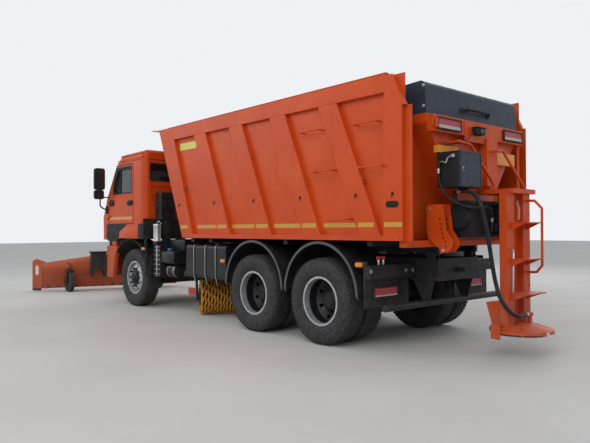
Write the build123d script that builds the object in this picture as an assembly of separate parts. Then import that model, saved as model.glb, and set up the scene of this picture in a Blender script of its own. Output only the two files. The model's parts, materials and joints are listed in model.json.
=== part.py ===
"""A 6x4 cab-over dump truck fitted out for road upkeep: a V-box spreader in the bed, a slanted
brush under the frame and a snow plough in front.

All sizes are in millimetres. The pieces are laid out in the truck's datum frame: the origin is on
the ground under the middle of the front axle, +X points forward, +Y to the left and +Z up. The
last section moves every piece so that the origin is at the middle of the footprint.
"""
from build123d import *
import os
from math import atan2, cos, degrees, hypot, pi, radians, sin, tan

# Gaps
REST_GAP = 0.3        # between a loose piece and the seat that it rests on
RUN_GAP = 0.05        # radial play of a shaft in its bore
SEAM = 6.0            # open seam round a door or a lid
SWING_GAP = 8.0       # play beside a piece that turns or slides past another

# Wheels and axles
WHEELBASE = 3690.0    # front axle to the first rear axle
BOGIE = 1320.0        # first to second rear axle
TYRE_R = 527.0
TYRE_HALF = 140.0
TREAD_HALF = 104.0
RIM_R = 286.0         # bead seat
RIM_FLANGE = 14.0     # height of the rim's edge over the bead seat
RIM_HALF = 113.0
RIM_WALL = 12.0
FRONT_WHEEL_Y = 1020.0
REAR_WHEEL_Y = 1095.0  # outer wheel of a pair
TWIN_PITCH = 330.0     # outer wheel to inner wheel
KINGPIN_Y = 850.0
KINGPIN_R = 24.0
KNUCKLE_EYE_R = 36.0   # rounded end of the axle beam inside the knuckle's fork
SPINDLE_R = 42.0
STEER_LIMIT = 35.0
NUT_HOLES = 8          # hand holes through a wheel's disc
REAR_HOUSING = 560.0
TRACK_PIN_X = -230.0

# Frame
FRAME_HALF = 425.0     # outer face of a rail
FRAME_TOP = 1050.0
FRAME_DEPTH = 260.0
FRAME_FOOT = FRAME_TOP - FRAME_DEPTH
FRAME_WALL = 9.0
FRAME_FLANGE = 80.0
FRAME_FRONT = 1050.0
FRAME_REAR = -6150.0
SPRING_HALF = 45.0
SPRING_Y = 385.0
CROSS_X = (900.0, -1620.0, -3000.0, -4350.0, -5650.0)
CROSS_Z = FRAME_FOOT + 105.0
PIN_R = 20.0
TOW_R = 25.0

# Fuel tank
TANK_FRONT = -1930.0
TANK_REAR = -3025.0
TANK_FOOT = 650.0
TANK_TOP = 1170.0
TANK_OUTER = 1200.0
TANK_INNER = 600.0
TANK_STRAPS = (-2160.0, -2480.0, -2760.0)
TANK_STRAP = 50.0       # width of a strap

# Mudguards over the rear wheels
GUARD_R = 640.0
GUARD_Z = 610.0
GUARD_FOOT = 630.0
GUARD_WALL = 6.0
GUARD_INNER = 610.0
GUARD_OUTER = 1225.0

# Cab
CAB_HALF = 1240.0
CAB_REAR = -580.0
CAB_FRONT = 1190.0
CAB_FLOOR = 1270.0
CAB_SKIRT = 1210.0
CAB_TOP = 2850.0
CAB_WALL = 50.0
CAB_EDGE = 110.0       # radius of the cab's outer edges
SCREEN_TOP = (600.0, 2640.0)
SCREEN_FOOT = (1030.0, 2030.0)
GLASS_IN = 16.0        # glass lies this far inside the outer skin
GLASS_WALL = 8.0
CAB_PIVOT = (1080.0, 1120.0)
CAB_TILT = 50.0
DOOR_REAR = -150.0
DOOR_FRONT = 860.0
DOOR_FOOT = 1520.0
DOOR_TOP = 2600.0
DOOR_OPEN = 68.0
SILL_Z = 2085.0        # lower edge of the side windows
REAR_WINDOW = (450.0, 1120.0, 2280.0, 2580.0)
HINGE_Z = (1640.0, 1940.0)
HINGE_X = DOOR_FRONT + 3.0
HINGE_Y = CAB_HALF + 17.0
HINGE_R = 14.0
HINGE_PIN_R = 6.0
FENDER_OUT = 22.0      # how far the panels under the doors stand proud
GRILLE = (560.0, 1330.0, 1640.0)    # half width, foot and top of the grille's recess
GRILLE_DEEP = 18.0
GRILLE_BARS = 5
HEADLAMP = (640.0, 880.0, 700.0, 860.0)    # inner and outer side, foot and top

# Bed
BED_HALF = 1250.0      # outer face of rails, ribs and posts
BED_SKIN = 10.0
BED_SHEET_Y = 1195.0   # outer face of the side sheet
BED_FLOOR = 1270.0
BED_RAIL_FOOT = 2870.0
BED_RAIL_TOP = 3080.0
BED_NOSE = -1160.0     # front edge at the rail's top
BED_TAIL = -6310.0
BED_SLANT = 22.5       # lean of the front edge and the ribs, from vertical
BED_PIVOT = (-6070.0, 1100.0)
BED_PIN_R = 22.0
BED_TILT = 8.0
RIB_COUNT = 4
RIB_FIRST = -2555.0
RIB_PITCH = 932.0
RIB_WIDTH = 310.0
RIB_LEAN = 23.0
# Front end of each rung and its height
RUNGS = ((-4740.0, 2590.0), (-4960.0, 2090.0), (-5230.0, 1510.0), (-5650.0, 2570.0), (-5730.0, 2080.0))

# Hoist
HOIST_FOOT = (-4350.0, 1022.0)
HOIST_EYE = (-2750.0, 1175.0)
HOIST_EYE_R = 50.0
HOIST_EYE_BORE = 33.0

# Spreader
HOPPER_TOP = 2640.0
HOPPER_FRONT = -2300.0
HOPPER_TAIL = -6400.0
HOPPER_HALF = 950.0
HOPPER_WALL = 8.0
TROUGH_HALF = 200.0
TROUGH_Z = 1500.0
HOOD_TOP = 3000.0
HOOD_FRONT = -5300.0
HOOD_OPEN = 65.0
COLUMN_X = -6900.0
COLUMN_TOP = 1830.0
SPINNER_X = -6950.0
SPINNER_R = 337.0
SPINNER_Z = 285.0
HOOD_HINGE = (HOOD_FRONT + 22.0, HOPPER_TOP + 18.0)
HOOD_EAR_Y = 985.0     # inner face of the plate that carries a hinge pin
CABINET = (-6700.0, -6430.0, 390.0, 800.0, 1840.0, 2220.0)
CABINET_HINGE_R = 8.0
CABINET_PIN_R = 4.0
PLATE_HOLES = ((-6478, 1397), (-6490, 1347), (-6504, 1298), (-6526, 1255), (-6540, 1207), (-6468, 1448), (-6460, 1500))
STEPS = ((688, -7157), (1059, -7125), (1453, -7110))    # height and rear end of each step

# Hoses on the spreader: corners of their runs
HOSE_R = 22.0
THIN_HOSE_R = 15.0
HOSE_FITTING = (-6985.0, -90.0, 447.0)
HOUSING_FITTING = (-6732.0, 215.0, 1470.0)
HOSE_MAIN = ((-6545, 596, 1798), (-6630, 602, 1808), (-6728, 618, 1794), (-6812, 640, 1738), (-6866, 656, 1646),
             (-6886, 630, 1505), (-6884, 545, 1285), (-6874, 466, 1040), (-6886, 418, 820), (-6922, 388, 644),
             (-6978, 304, 512), (-6998, 170, 452), (-6985, 26, 447), (-6985, -90 + REST_GAP, 447))
HOSE_THIN = ((-6470, 836, 2040 - REST_GAP), (-6470, 836, 1938), (-6498, 828, 1832), (-6556, 802, 1736), (-6636, 752, 1668),
             (-6704, 670, 1630), (-6746, 560, 1616), (-6762, 450, 1630), (-6764, 352, 1634), (-6757, 272, 1600),
             (-6742, 228, 1538), HOUSING_FITTING)
BEND_SHARE = 0.45     # share of the shorter run beside a corner that its arc takes

# Brush
BRUSH_R = 285.0
BRUSH_LENGTH = 2100.0
BRUSH_MID = (-2295.0, -55.0)
BRUSH_SKEW = 28.0      # turn of the brush from straight across
BRUSH_Z = 297.0
BRUSH_ARM = 520.0      # brush axis to the lift pivot
BRUSH_LIFT = 6.0
BRUSH_PIVOT_Z = 650.0
BRUSH_CORE_R = 110.0
BRUSH_AXLE_R = 25.0
HANGER_Y = 385.0
BRUSH_RINGS = 10
BRUSH_GROOVE = 22.0    # depth between two bristle rings

# Plough
PLOUGH_MID = (3520.0, -17.0)
PLOUGH_SKEW = 17.5
PLOUGH_HALF = 1560.0
PLOUGH_FOOT = 60.0
PLOUGH_PIVOT = (1560.0, 560.0)
PLOUGH_LIFT = 10.0
PLOUGH_WHEEL_R = 225.0
LUG_WALL = 16.0
PLOUGH_EYE_Y = 335.0
PLOUGH_EYE_HALF = 12.0
BLADE_LEFT_H = 580.0
BLADE_RIGHT_H = 1000.0
BLADE_WALL = 12.0
BLADE_SAG = 0.17       # depth of the curve, as a share of the height
BLADE_LEAN = 0.07      # how far the top lies behind the foot, as a share of the height
BEAM_BACK = 210.0
BEAM_Z = 545.0
BEAM_R = 45.0
SWING_X = 2900.0
SWING_Z = 580.0
SWING_PIN_R = 35.0
SWING_HALF = 60.0
SWING_PLATE = 20.0
STEM_ALONG = PLOUGH_HALF - 560.0   # swivel of a support wheel, along the blade
STEM_BACK = 360.0
STEM_R = 28.0
STEM_TOP = 640.0
TRAIL = 80.0
PLOUGH_WHEEL_HALF = 50.0
PLOUGH_AXLE_R = 18.0
RIB_END = PLOUGH_HALF - 260.0      # outermost back rib
RIB_BACK = 6           # ribs behind the mouldboard
WING_ROOT = 110.0      # how far behind the blade's left end the wing plate starts
WING_LONG = 425.0
WING_TURN = 45.0       # its turn towards the front
WING_WALL = 14.0
CARRIER = (180.0, 520.0, -560.0, 330.0, 900.0)    # along from and to, back end, foot and top


# Drawing helpers
def rounded_edges(corners):
    """Edges of a closed outline in u, v from rows of (u, v) or (u, v, corner radius)."""
    rows = [(c[0], c[1], c[2] if len(c) > 2 else 0.0) for c in corners]
    starts, ends, middles = [], [], []
    count = len(rows)
    for i, (u, v, r) in enumerate(rows):
        pu, pv, _ = rows[i - 1]
        nu, nv, _ = rows[(i + 1) % count]
        a = hypot(pu - u, pv - v)
        b = hypot(nu - u, nv - v)
        ua, va = (pu - u) / a, (pv - v) / a
        ub, vb = (nu - u) / b, (nv - v) / b
        if r <= 0:
            starts.append((u, v))
            ends.append((u, v))
            middles.append(None)
            continue
        half = atan2(abs(ua * vb - va * ub), ua * ub + va * vb) / 2
        reach = r / tan(half)
        bu, bv = ua + ub, va + vb
        length = hypot(bu, bv)
        far = r / sin(half)
        middles.append((u + bu / length * (far - r), v + bv / length * (far - r)))
        starts.append((u + ua * reach, v + va * reach))
        ends.append((u + ub * reach, v + vb * reach))
    return starts, ends, middles


def outline_face(corners, place):
    """Face of an outline; place turns (u, v) into a point in space."""
    starts, ends, middles = rounded_edges(corners)
    edges = []
    for i in range(len(starts)):
        if middles[i] is not None:
            edges.append(Edge.make_three_point_arc(place(*starts[i]), place(*middles[i]), place(*ends[i])))
        after = starts[(i + 1) % len(starts)]
        if hypot(after[0] - ends[i][0], after[1] - ends[i][1]) > 1e-6:
            edges.append(Edge.make_line(place(*ends[i]), place(*after)))
    return Face(Wire(edges))


def side_slab(corners, y0, y1):
    """Outline in x, z, thick from y0 to y1."""
    face = outline_face(corners, lambda u, v: Vector(u, y0, v))
    return Solid.extrude(face, Vector(0, y1 - y0, 0))


def front_slab(corners, x0, x1):
    """Outline in y, z, thick from x0 to x1."""
    face = outline_face(corners, lambda u, v: Vector(x0, u, v))
    return Solid.extrude(face, Vector(x1 - x0, 0, 0))


def plan_slab(corners, z0, z1):
    """Outline in x, y, thick from z0 to z1."""
    face = outline_face(corners, lambda u, v: Vector(u, v, z0))
    return Solid.extrude(face, Vector(0, 0, z1 - z0))


def block(x0, x1, y0, y1, z0, z1):
    """Box between two corners."""
    sizes = (abs(x1 - x0), abs(y1 - y0), abs(z1 - z0))
    return Pos((x0 + x1) / 2, (y0 + y1) / 2, (z0 + z1) / 2) * Box(*sizes)


def rod(start, end, radius):
    """Round bar between two points."""
    a = Vector(*start)
    b = Vector(*end)
    return Solid.make_cylinder(radius, (b - a).length, Plane(origin=a, z_dir=(b - a).normalized()))


def ring(start, end, radius, bore):
    """Round bar with a hole along it."""
    a = Vector(*start)
    b = Vector(*end)
    way = (b - a).normalized()
    return rod(start, end, radius) - rod(tuple(a - way * 1.0), tuple(b + way * 1.0), bore)


def bent_bar(points, radius):
    """Round bar through several points, with ball corners."""
    bar = rod(points[0], points[1], radius)
    for start, end in zip(points[1:], points[2:]):
        bar = bar + Pos(*start) * Sphere(radius) + rod(start, end, radius)
    return bar


def turned(profile, centre_y, side):
    """Body of revolution about the wheel's axis; profile rows are (radius, outward offset, corner radius)."""
    face = outline_face(profile, lambda u, v: Vector(u, centre_y + side * v, 0))
    return Solid.revolve(face, 360, Axis.Y)


def mirrored(shape):
    """The same piece on the other side of the truck."""
    return mirror(shape, about=Plane.XZ)


def pair(shape):
    """A piece and its mirror image, fused."""
    return shape + mirrored(shape)


def solids_of(*shapes):
    """Several bodies kept apart in one node."""
    found = []
    for shape in shapes:
        found.extend(shape.solids())
    return Compound(children=found)


def inset_corners(corners, depth):
    """Outline moved inward by depth; corners run counter-clockwise in u, v."""
    rows = [(c[0], c[1], c[2] if len(c) > 2 else 0.0) for c in corners]
    moved = []
    for i, (u, v, r) in enumerate(rows):
        pu, pv, _ = rows[i - 1]
        nu, nv, _ = rows[(i + 1) % len(rows)]
        a = hypot(u - pu, v - pv)
        b = hypot(nu - u, nv - v)
        n1 = (-(v - pv) / a, (u - pu) / a)
        n2 = (-(nv - v) / b, (nu - u) / b)
        scale = depth / (1 + n1[0] * n2[0] + n1[1] * n2[1])
        turn = n1[0] * n2[1] - n1[1] * n2[0]
        radius = max(r - depth, 5.0) if turn > 0 and r > 0 else r
        moved.append((u + (n1[0] + n2[0]) * scale, v + (n1[1] + n2[1]) * scale, radius))
    return moved


def lean_x(x_top, z_top, z, lean=None):
    """x of a line that leans forward as it rises."""
    return x_top - (z_top - z) * tan(radians(BED_SLANT if lean is None else lean))


# Derived places
REAR_AXLES = (-WHEELBASE, -WHEELBASE - BOGIE)
AXLE_Z = TYRE_R
WEB_IN = FRAME_HALF - FRAME_WALL


# Wheels
def tyre(centre_y, side):
    """Tyre with a flat tread, slanted shoulders and bulged sidewalls."""
    bead = RIM_HALF - 8.0
    bulge = (RIM_R + TYRE_R) / 2
    wall = [(RIM_R, bead), (bulge, TYRE_HALF), (TYRE_R - 27, TYRE_HALF - 15), (TYRE_R, TREAD_HALF)]
    return turned([(r, -y) for r, y in wall] + wall[::-1], centre_y, side)


def rim_barrel(centre_y, side):
    """Rim's tube with an edge on each side."""
    edge = RIM_R + RIM_FLANGE
    bead = RIM_HALF - 8.0
    lean = (TYRE_HALF - bead) * RIM_FLANGE / ((TYRE_R - RIM_R) / 2)
    half = [(RIM_R - RIM_WALL, RIM_HALF), (edge, RIM_HALF), (edge, bead + lean), (RIM_R, bead)]
    return turned([(r, -y) for r, y in half] + half[::-1], centre_y, side)


def hand_holes(count, radius, pitch_r, centre_y, reach):
    """Round holes through a wheel's disc."""
    cutters = []
    for i in range(count):
        angle = 2 * pi * (i + 0.5) / count
        x, z = pitch_r * cos(angle), pitch_r * sin(angle)
        cutters.append(rod((x, centre_y - reach, z), (x, centre_y + reach, z), radius))
    return cutters


def front_wheel(side):
    """Tyre and rim of a front wheel, about the origin of its axle line."""
    inner = RIM_R - RIM_WALL
    centre = side * FRONT_WHEEL_Y
    disc = turned([(inner + 1, 20), (inner + 1, 36), (200, 100), (SPINDLE_R + RUN_GAP, 100),
                   (SPINDLE_R + RUN_GAP, 84), (192, 84)], centre, side)
    hub = turned([(SPINDLE_R + RUN_GAP, -60), (150, -60), (150, 40), (118, 60), (118, 118), (72, 150),
                  (SPINDLE_R + RUN_GAP, 150)], centre, side)
    cap = turned([(0.0, 150), (64, 150), (58, 162), (0.0, 162)], centre, side)
    disc = disc - hand_holes(NUT_HOLES, 26, 226, centre + side * 60, 60)
    rim = rim_barrel(centre, side) + disc + hub + cap
    return tyre(centre, side), rim


def rear_wheel(side):
    """Twin tyres and their two rims on one hub."""
    inner = RIM_R - RIM_WALL
    bore = SPINDLE_R + RUN_GAP
    outer_y = side * REAR_WHEEL_Y
    inner_y = side * (REAR_WHEEL_Y - TWIN_PITCH)
    middle = side * (REAR_WHEEL_Y - TWIN_PITCH / 2)
    gap = TWIN_PITCH / 2 - RIM_HALF
    outer_disc = turned([(bore, 0), (200, 0), (inner + 1, gap + 4), (inner + 1, gap + 22), (204, 16), (bore, 16)],
                        middle, side)
    inner_disc = turned([(bore, 0), (bore, -16), (204, -16), (inner + 1, -gap - 22), (inner + 1, -gap - 4), (200, 0)],
                        middle, side)
    hub = turned([(bore, -190), (180, -190), (180, -20), (130, 10), (130, 96), (98, 120), (bore, 120)], middle, side)
    cap = turned([(0.0, 120), (80, 120), (74, 134), (0.0, 134)], middle, side)
    outer_disc = outer_disc - hand_holes(NUT_HOLES, 24, 232, middle, 60)
    tyres = solids_of(tyre(outer_y, side), tyre(inner_y, side))
    rims = rim_barrel(outer_y, side) + rim_barrel(inner_y, side) + outer_disc + inner_disc + hub + cap
    return tyres, rims


def placed(shape, x):
    """A wheel piece moved to its axle."""
    return Pos(x, 0, AXLE_Z) * shape


# Frame, axles and what hangs on the frame


def make_chassis_frame():
    """Two channel rails, cross-members, cab pivots, bed hinge, tank brackets and tow eyes."""
    inner = FRAME_HALF - FRAME_FLANGE
    channel = [(FRAME_HALF, FRAME_FOOT), (FRAME_HALF, FRAME_TOP), (inner, FRAME_TOP), (inner, FRAME_TOP - FRAME_WALL),
               (WEB_IN, FRAME_TOP - FRAME_WALL), (WEB_IN, FRAME_FOOT + FRAME_WALL), (inner, FRAME_FOOT + FRAME_WALL),
               (inner, FRAME_FOOT)]
    frame = pair(front_slab(channel, FRAME_REAR, FRAME_FRONT))
    for x in CROSS_X:
        frame = frame + block(x - 50, x + 50, -WEB_IN, WEB_IN, CROSS_Z, CROSS_Z + 80)
    frame = frame + block(FRAME_REAR - 12, FRAME_REAR, -FRAME_HALF, FRAME_HALF, FRAME_FOOT, FRAME_TOP)
    px, pz = CAB_PIVOT
    for y in (-410, -350, 350, 410):
        ear = side_slab([(px - 60, FRAME_TOP), (px - 60, pz, 20), (px - 34, pz + 34, 30), (px + 34, pz + 34, 30),
                         (px + 34, FRAME_FOOT + 120), (px - 60, FRAME_FOOT + 120)], y - 10, y + 10)
        frame = frame + ear
    frame = frame + pair(rod((px, 340, pz), (px, 420, pz), PIN_R))
    frame = frame + pair(block(-480, -380, inner, FRAME_HALF, FRAME_TOP, CAB_FLOOR - REST_GAP))
    hx, hz = BED_PIVOT
    for y in (345, 425):
        ear = side_slab([(hx - 70, FRAME_TOP - 60), (hx + 70, FRAME_TOP - 60), (hx + 45, hz + 40, 30),
                         (hx - 45, hz + 40, 30)], y - 8, y + 8)
        frame = frame + pair(ear)
    frame = frame + pair(rod((hx, 340, hz), (hx, 430, hz), BED_PIN_R))
    ax, az = HOIST_FOOT
    for y in (-75, 75):
        frame = frame + side_slab([(ax - 48, CROSS_Z + 70), (ax + 48, CROSS_Z + 70), (ax + 40, az + 40, 30),
                                   (ax - 40, az + 40, 30)], y - 10, y + 10)
    frame = frame + rod((ax, -80, az), (ax, 80, az), PIN_R)
    for x in (TANK_STRAPS[0], TANK_STRAPS[-1]):
        frame = frame + block(x - 30, x + 30, FRAME_HALF, TANK_INNER, TANK_FOOT + 60, TANK_FOOT + 180)
    for s in (-1, 1):
        frame = frame + brush_hanger(s)
    eye = block(FRAME_REAR - 132, FRAME_REAR - 12, -60, 60, FRAME_FOOT + 100, FRAME_FOOT + 140)
    frame = frame + (eye - rod((FRAME_REAR - 82, 0, 0), (FRAME_REAR - 82, 0, 2000), TOW_R))
    return frame


def make_fuel_tank():
    """Fuel tank with rounded edges, three straps and a filler cap."""
    tank = None
    for x0, x1, out in [(TANK_REAR, TANK_FRONT, 0)] + [(x - TANK_STRAP / 2, x + TANK_STRAP / 2, 6) for x in TANK_STRAPS]:
        face = [(TANK_INNER, TANK_FOOT - out, 60), (TANK_OUTER + out, TANK_FOOT - out, 60),
                (TANK_OUTER + out, TANK_TOP + out, 60), (TANK_INNER, TANK_TOP + out, 60)]
        piece = front_slab(face, x0, x1)
        tank = piece if tank is None else tank + piece
    return tank + rod((-2660, 1080, TANK_TOP - 5), (-2660, 1080, TANK_TOP + 26), 45)


def spring_leaf(x, half_length, z_mid, y):
    """One leaf pack: a shallow arch between its two hangers."""
    rows = [(x - half_length, z_mid + 70), (x - half_length, z_mid + 40), (x - 120, z_mid - 30), (x + 120, z_mid - 30),
            (x + half_length, z_mid + 40), (x + half_length, z_mid + 70), (x + 120, z_mid + 30), (x - 120, z_mid + 30)]
    return side_slab(rows, y - SPRING_HALF, y + SPRING_HALF)


def make_axles():
    """Front axle beam and rear axle housings with their springs."""
    spring_y = SPRING_Y
    front = side_slab([(-45, AXLE_Z - 130), (45, AXLE_Z - 130), (45, AXLE_Z - 40), (-45, AXLE_Z - 40)], -560, 560)
    end = front_slab([(559, AXLE_Z - 130), (KINGPIN_Y - 60, AXLE_Z - 42), (KINGPIN_Y, AXLE_Z - 42),
                      (KINGPIN_Y, AXLE_Z + 42), (KINGPIN_Y - 60, AXLE_Z + 42), (559, AXLE_Z - 40)], -30, 30)
    end = end + rod((0, KINGPIN_Y, AXLE_Z - 42), (0, KINGPIN_Y, AXLE_Z + 42), KNUCKLE_EYE_R)
    end = end - rod((0, KINGPIN_Y, 0), (0, KINGPIN_Y, 1000), KINGPIN_R + RUN_GAP)
    front = front + pair(end)
    seat = block(-70, 70, spring_y - SPRING_HALF, spring_y + SPRING_HALF, AXLE_Z - 41, AXLE_Z + 51)
    front = front + pair(seat + spring_leaf(0, 720, AXLE_Z + 80, spring_y))
    hanger = front_hanger(720) + front_hanger(-720)
    front = front + pair(hanger)
    rear = None
    for x in REAR_AXLES:
        tube = rod((x, -REAR_WHEEL_Y + 60, AXLE_Z), (x, REAR_WHEEL_Y - 60, AXLE_Z), SPINDLE_R)
        housing = rod((x, -REAR_HOUSING, AXLE_Z), (x, REAR_HOUSING, AXLE_Z), 75)
        bowl = Pos(x, 0, AXLE_Z) * Rot(90, 0, 0) * Cylinder(190, 180)
        shape = tube + housing + bowl
        rear = shape if rear is None else rear + shape
    mid = (REAR_AXLES[0] + REAR_AXLES[1]) / 2
    seat_z = AXLE_Z + 75
    rear_spring = side_slab([(REAR_AXLES[1] - 90, seat_z + 10), (REAR_AXLES[1] - 90, seat_z - 10),
                             (REAR_AXLES[0] + 90, seat_z - 10), (REAR_AXLES[0] + 90, seat_z + 10),
                             (mid + 150, seat_z + 90), (mid - 150, seat_z + 90)],
                            spring_y + 10 - SPRING_HALF, spring_y + 10 + SPRING_HALF)
    trunnion = block(mid - 100, mid + 100, spring_y - 35, FRAME_HALF, seat_z + 80, FRAME_FOOT)
    rear = rear + pair(rear_spring + trunnion)
    return solids_of(front, rear)


def front_hanger(x):
    """Bracket that holds a front spring's end under the rail."""
    z = AXLE_Z + 80 + 69
    return block(x - 40, x + 40, SPRING_Y - SPRING_HALF + 5, SPRING_Y + SPRING_HALF - 5, z - 20, FRAME_FOOT)


def make_powertrain():
    """Engine, gearbox and propeller shaft as plain masses."""
    engine = block(-800, 500, -290, 290, FRAME_FOOT - 110, 1180)
    for x in (380, -700):
        engine = engine + pair(block(x - 40, x + 40, 280, WEB_IN, FRAME_FOOT + 120, FRAME_FOOT + 170))
    gearbox = rod((-799, 0, 850), (-1500, 0, 830), 170)
    shaft = rod((-1490, 0, 830), (REAR_AXLES[0] + 189, 0, AXLE_Z + 40), 50)
    return engine + gearbox + shaft


def make_side_boxes():
    """Ribbed battery box and upright canister behind the cab, the air intake and an air tank."""
    box = block(-1050, -850, 700, 1180, 590, 1130) + block(-990, -910, FRAME_HALF, 700, 800, 900)
    for i in range(6):
        z = 610 + i * 88
        box = box + block(-1056, -844, 700, 1188, z, z + 34)
    box = box + block(-900, -850, 1040, 1160, 1060, 1132) + block(-900, -750, 1040, 1160, 1131, 1191)
    canister = rod((-790, 1100, 1190), (-790, 1100, 1500), 65)
    intake = block(-850, -640, 780, 1040, 1580, 2060) + block(-850, -700, 860, 960, 1120, 1590)
    for i in range(5):
        z = 1640 + i * 80
        intake = intake + block(-858, -632, 790, 1048, z, z + 30)
    tank = rod((-1420, 1010, 700), (-1120, 1010, 700), 110) + block(-1310, -1230, FRAME_HALF, 930, 690, 750)
    tank = tank + block(-1310, -1230, FRAME_HALF, FRAME_HALF + 20, 690, FRAME_FOOT + 120)
    return solids_of(box + canister + intake, tank)


def make_bumper():
    """Wrap-round bumper with lamp recesses, a tow pin hole and the plough's mounting plate."""
    outer = [(480, -1235), (1000, -1235, 120), (1200, -960, 200), (1200, 960, 200), (1000, 1235, 120), (480, 1235),
             (480, 1175), (960, 1175, 100), (1130, 920, 150), (1130, -920, 150), (960, -1175, 100), (480, -1175)]
    shell = plan_slab(outer, 490, 1095)
    behind = side_slab([(470, 480), (700, 480), (590, 860), (470, 1110)], -1300, 1300)
    shell = shell - behind
    y0, y1, z0, z1 = HEADLAMP
    shell = shell - pair(block(1165, 1300, y0, y1, z0, z1))
    arms = pair(block(FRAME_FRONT, 1132, FRAME_HALF - 60, FRAME_HALF, FRAME_FOOT + 5, FRAME_FOOT + 110))
    plate = block(1195, 1225, -420, 420, 500, 1000)
    x, z = PLOUGH_PIVOT
    lug = side_slab([(1224, z - 70), (x - 10, z - 45, 30), (x + 45, z - 10, 30), (x + 30, z + 45, 30), (1224, z + 90)],
                    -LUG_WALL / 2, LUG_WALL / 2)
    for y in (PLOUGH_EYE_Y - 22, PLOUGH_EYE_Y + 22):
        plate = plate + pair(Pos(0, y, 0) * lug)
    pins = pair(rod((x, PLOUGH_EYE_Y - 30, z), (x, PLOUGH_EYE_Y + 30, z), PIN_R))
    return shell + arms + plate + pins


def make_mudguards():
    """Bent sheet over each rear wheel pair, on arms from the frame."""
    guards = []
    middle = (GUARD_INNER + GUARD_OUTER) / 2
    half = (GUARD_OUTER - GUARD_INNER) / 2
    for x in REAR_AXLES:
        sheet = turned([(GUARD_R, -half), (GUARD_R + GUARD_WALL, -half), (GUARD_R + GUARD_WALL, half), (GUARD_R, half)],
                       middle, 1)
        sheet = Pos(x, 0, GUARD_Z) * sheet
        sheet = sheet & block(x - 700, x + 700, 0, 1400, GUARD_FOOT, 1400)
        top = GUARD_Z + GUARD_R
        arm = bent_bar([(x, FRAME_HALF, FRAME_TOP - 60), (x, FRAME_HALF + 70, FRAME_TOP - 60),
                        (x, FRAME_HALF + 130, top - 12), (x, GUARD_OUTER - 60, top - 12)], 16)
        guards.append(sheet + arm)
    return solids_of(*guards, *[mirrored(guard) for guard in guards])


def make_rear_bar():
    """Underrun bar with its braces, the light beam over it, lamp plates and lamp boxes."""
    bar = rod((-5986, -1152, 524), (-5986, 1152, 524), 40) - pair(rod((-5986, 1060, 524), (-5986, 1160, 524), 33))
    brace = side_slab([(-5800, FRAME_FOOT), (-6100, FRAME_FOOT), (-6020, 524), (-5950, 524)], FRAME_HALF - 30,
                      FRAME_HALF - 18)
    beam = block(-5850, -5760, FRAME_HALF, 1250, 840, 990)
    plate = block(-5780 + REST_GAP, -5762, 477, 1250, 510, 845) + block(-5780 + REST_GAP, -5700, 700, 1118, 610, 740)
    return bar + pair(brace) + pair(beam) + pair(plate)


def make_knuckle(side):
    """Steering knuckle: fork round the axle's end, kingpin, spindle and steering arm."""
    y = side * KINGPIN_Y
    fork = None
    for z in (AXLE_Z - 42 - SWING_GAP - 22, AXLE_Z + 42 + SWING_GAP):
        tab = rod((0, y, z), (0, y, z + 22), 42) + block(-42, 42, y, y + side * 45, z, z + 22)
        fork = tab if fork is None else fork + tab
    back = block(-42, 42, y + side * 42, y + side * 60, AXLE_Z - 72, AXLE_Z + 72)
    flange = rod((0, y + side * 59, AXLE_Z), (0, y + side * 72, AXLE_Z), 90)
    pin = rod((0, y, AXLE_Z - 70), (0, y, AXLE_Z + 70), KINGPIN_R)
    spindle = rod((0, y + side * 60, AXLE_Z), (0, side * (FRONT_WHEEL_Y + 140), AXLE_Z), SPINDLE_R)
    ay = side * KINGPIN_Y
    arm = block(TRACK_PIN_X - 30, -30, ay - 25, ay + 25, AXLE_Z - 72, AXLE_Z - 52)
    post = rod((TRACK_PIN_X, ay, AXLE_Z - 110), (TRACK_PIN_X, ay, AXLE_Z - 60), 14)
    return fork + back + flange + pin + spindle + arm + post


def make_track_rod():
    """Track rod between the two steering arms."""
    z = AXLE_Z - 100
    shape = rod((TRACK_PIN_X, -KINGPIN_Y + 20, z), (TRACK_PIN_X, KINGPIN_Y - 20, z), 20)
    for y, bore in ((KINGPIN_Y, 14 + RUN_GAP), (-KINGPIN_Y, 15)):
        eye = ring((TRACK_PIN_X, y, z - 22), (TRACK_PIN_X, y, z + 22), 24, bore)
        hole = rod((TRACK_PIN_X, y, z - 30), (TRACK_PIN_X, y, z + 30), bore)
        shape = (shape + eye) - hole
    return shape


# Brush


def brush_way():
    """Unit vector along the brush axis, towards its left end, and the unit vector to its front."""
    a = radians(BRUSH_SKEW)
    return Vector(sin(a), cos(a), 0), Vector(cos(a), -sin(a), 0)


def brush_place(along, front, z):
    """Point beside the brush: distance along its axis, distance in front of it, height."""
    way, ahead = brush_way()
    point = Vector(BRUSH_MID[0], BRUSH_MID[1], 0) + way * along + ahead * front
    return (point.X, point.Y, z)


def brush_pivot_run():
    """How far in front of the brush's axis its lift pivot lies."""
    return (BRUSH_ARM ** 2 - (BRUSH_PIVOT_Z - BRUSH_Z) ** 2) ** 0.5


def hanger_along(side):
    """Where along the brush the lift pivot under a frame rail lies."""
    way, ahead = brush_way()
    return (side * HANGER_Y - BRUSH_MID[1] - ahead.Y * brush_pivot_run()) / way.Y


def brush_hanger(side):
    """Post from a frame rail down to the brush's lift pivot."""
    way, _ = brush_way()
    mid = Vector(*brush_place(hanger_along(side), brush_pivot_run(), BRUSH_PIVOT_Z))
    post = rod(tuple(mid), (mid.X, mid.Y, FRAME_FOOT + 3), 34)
    pin = rod(tuple(mid - way * 80), tuple(mid + way * 80), BRUSH_AXLE_R)
    return post + pin


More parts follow.
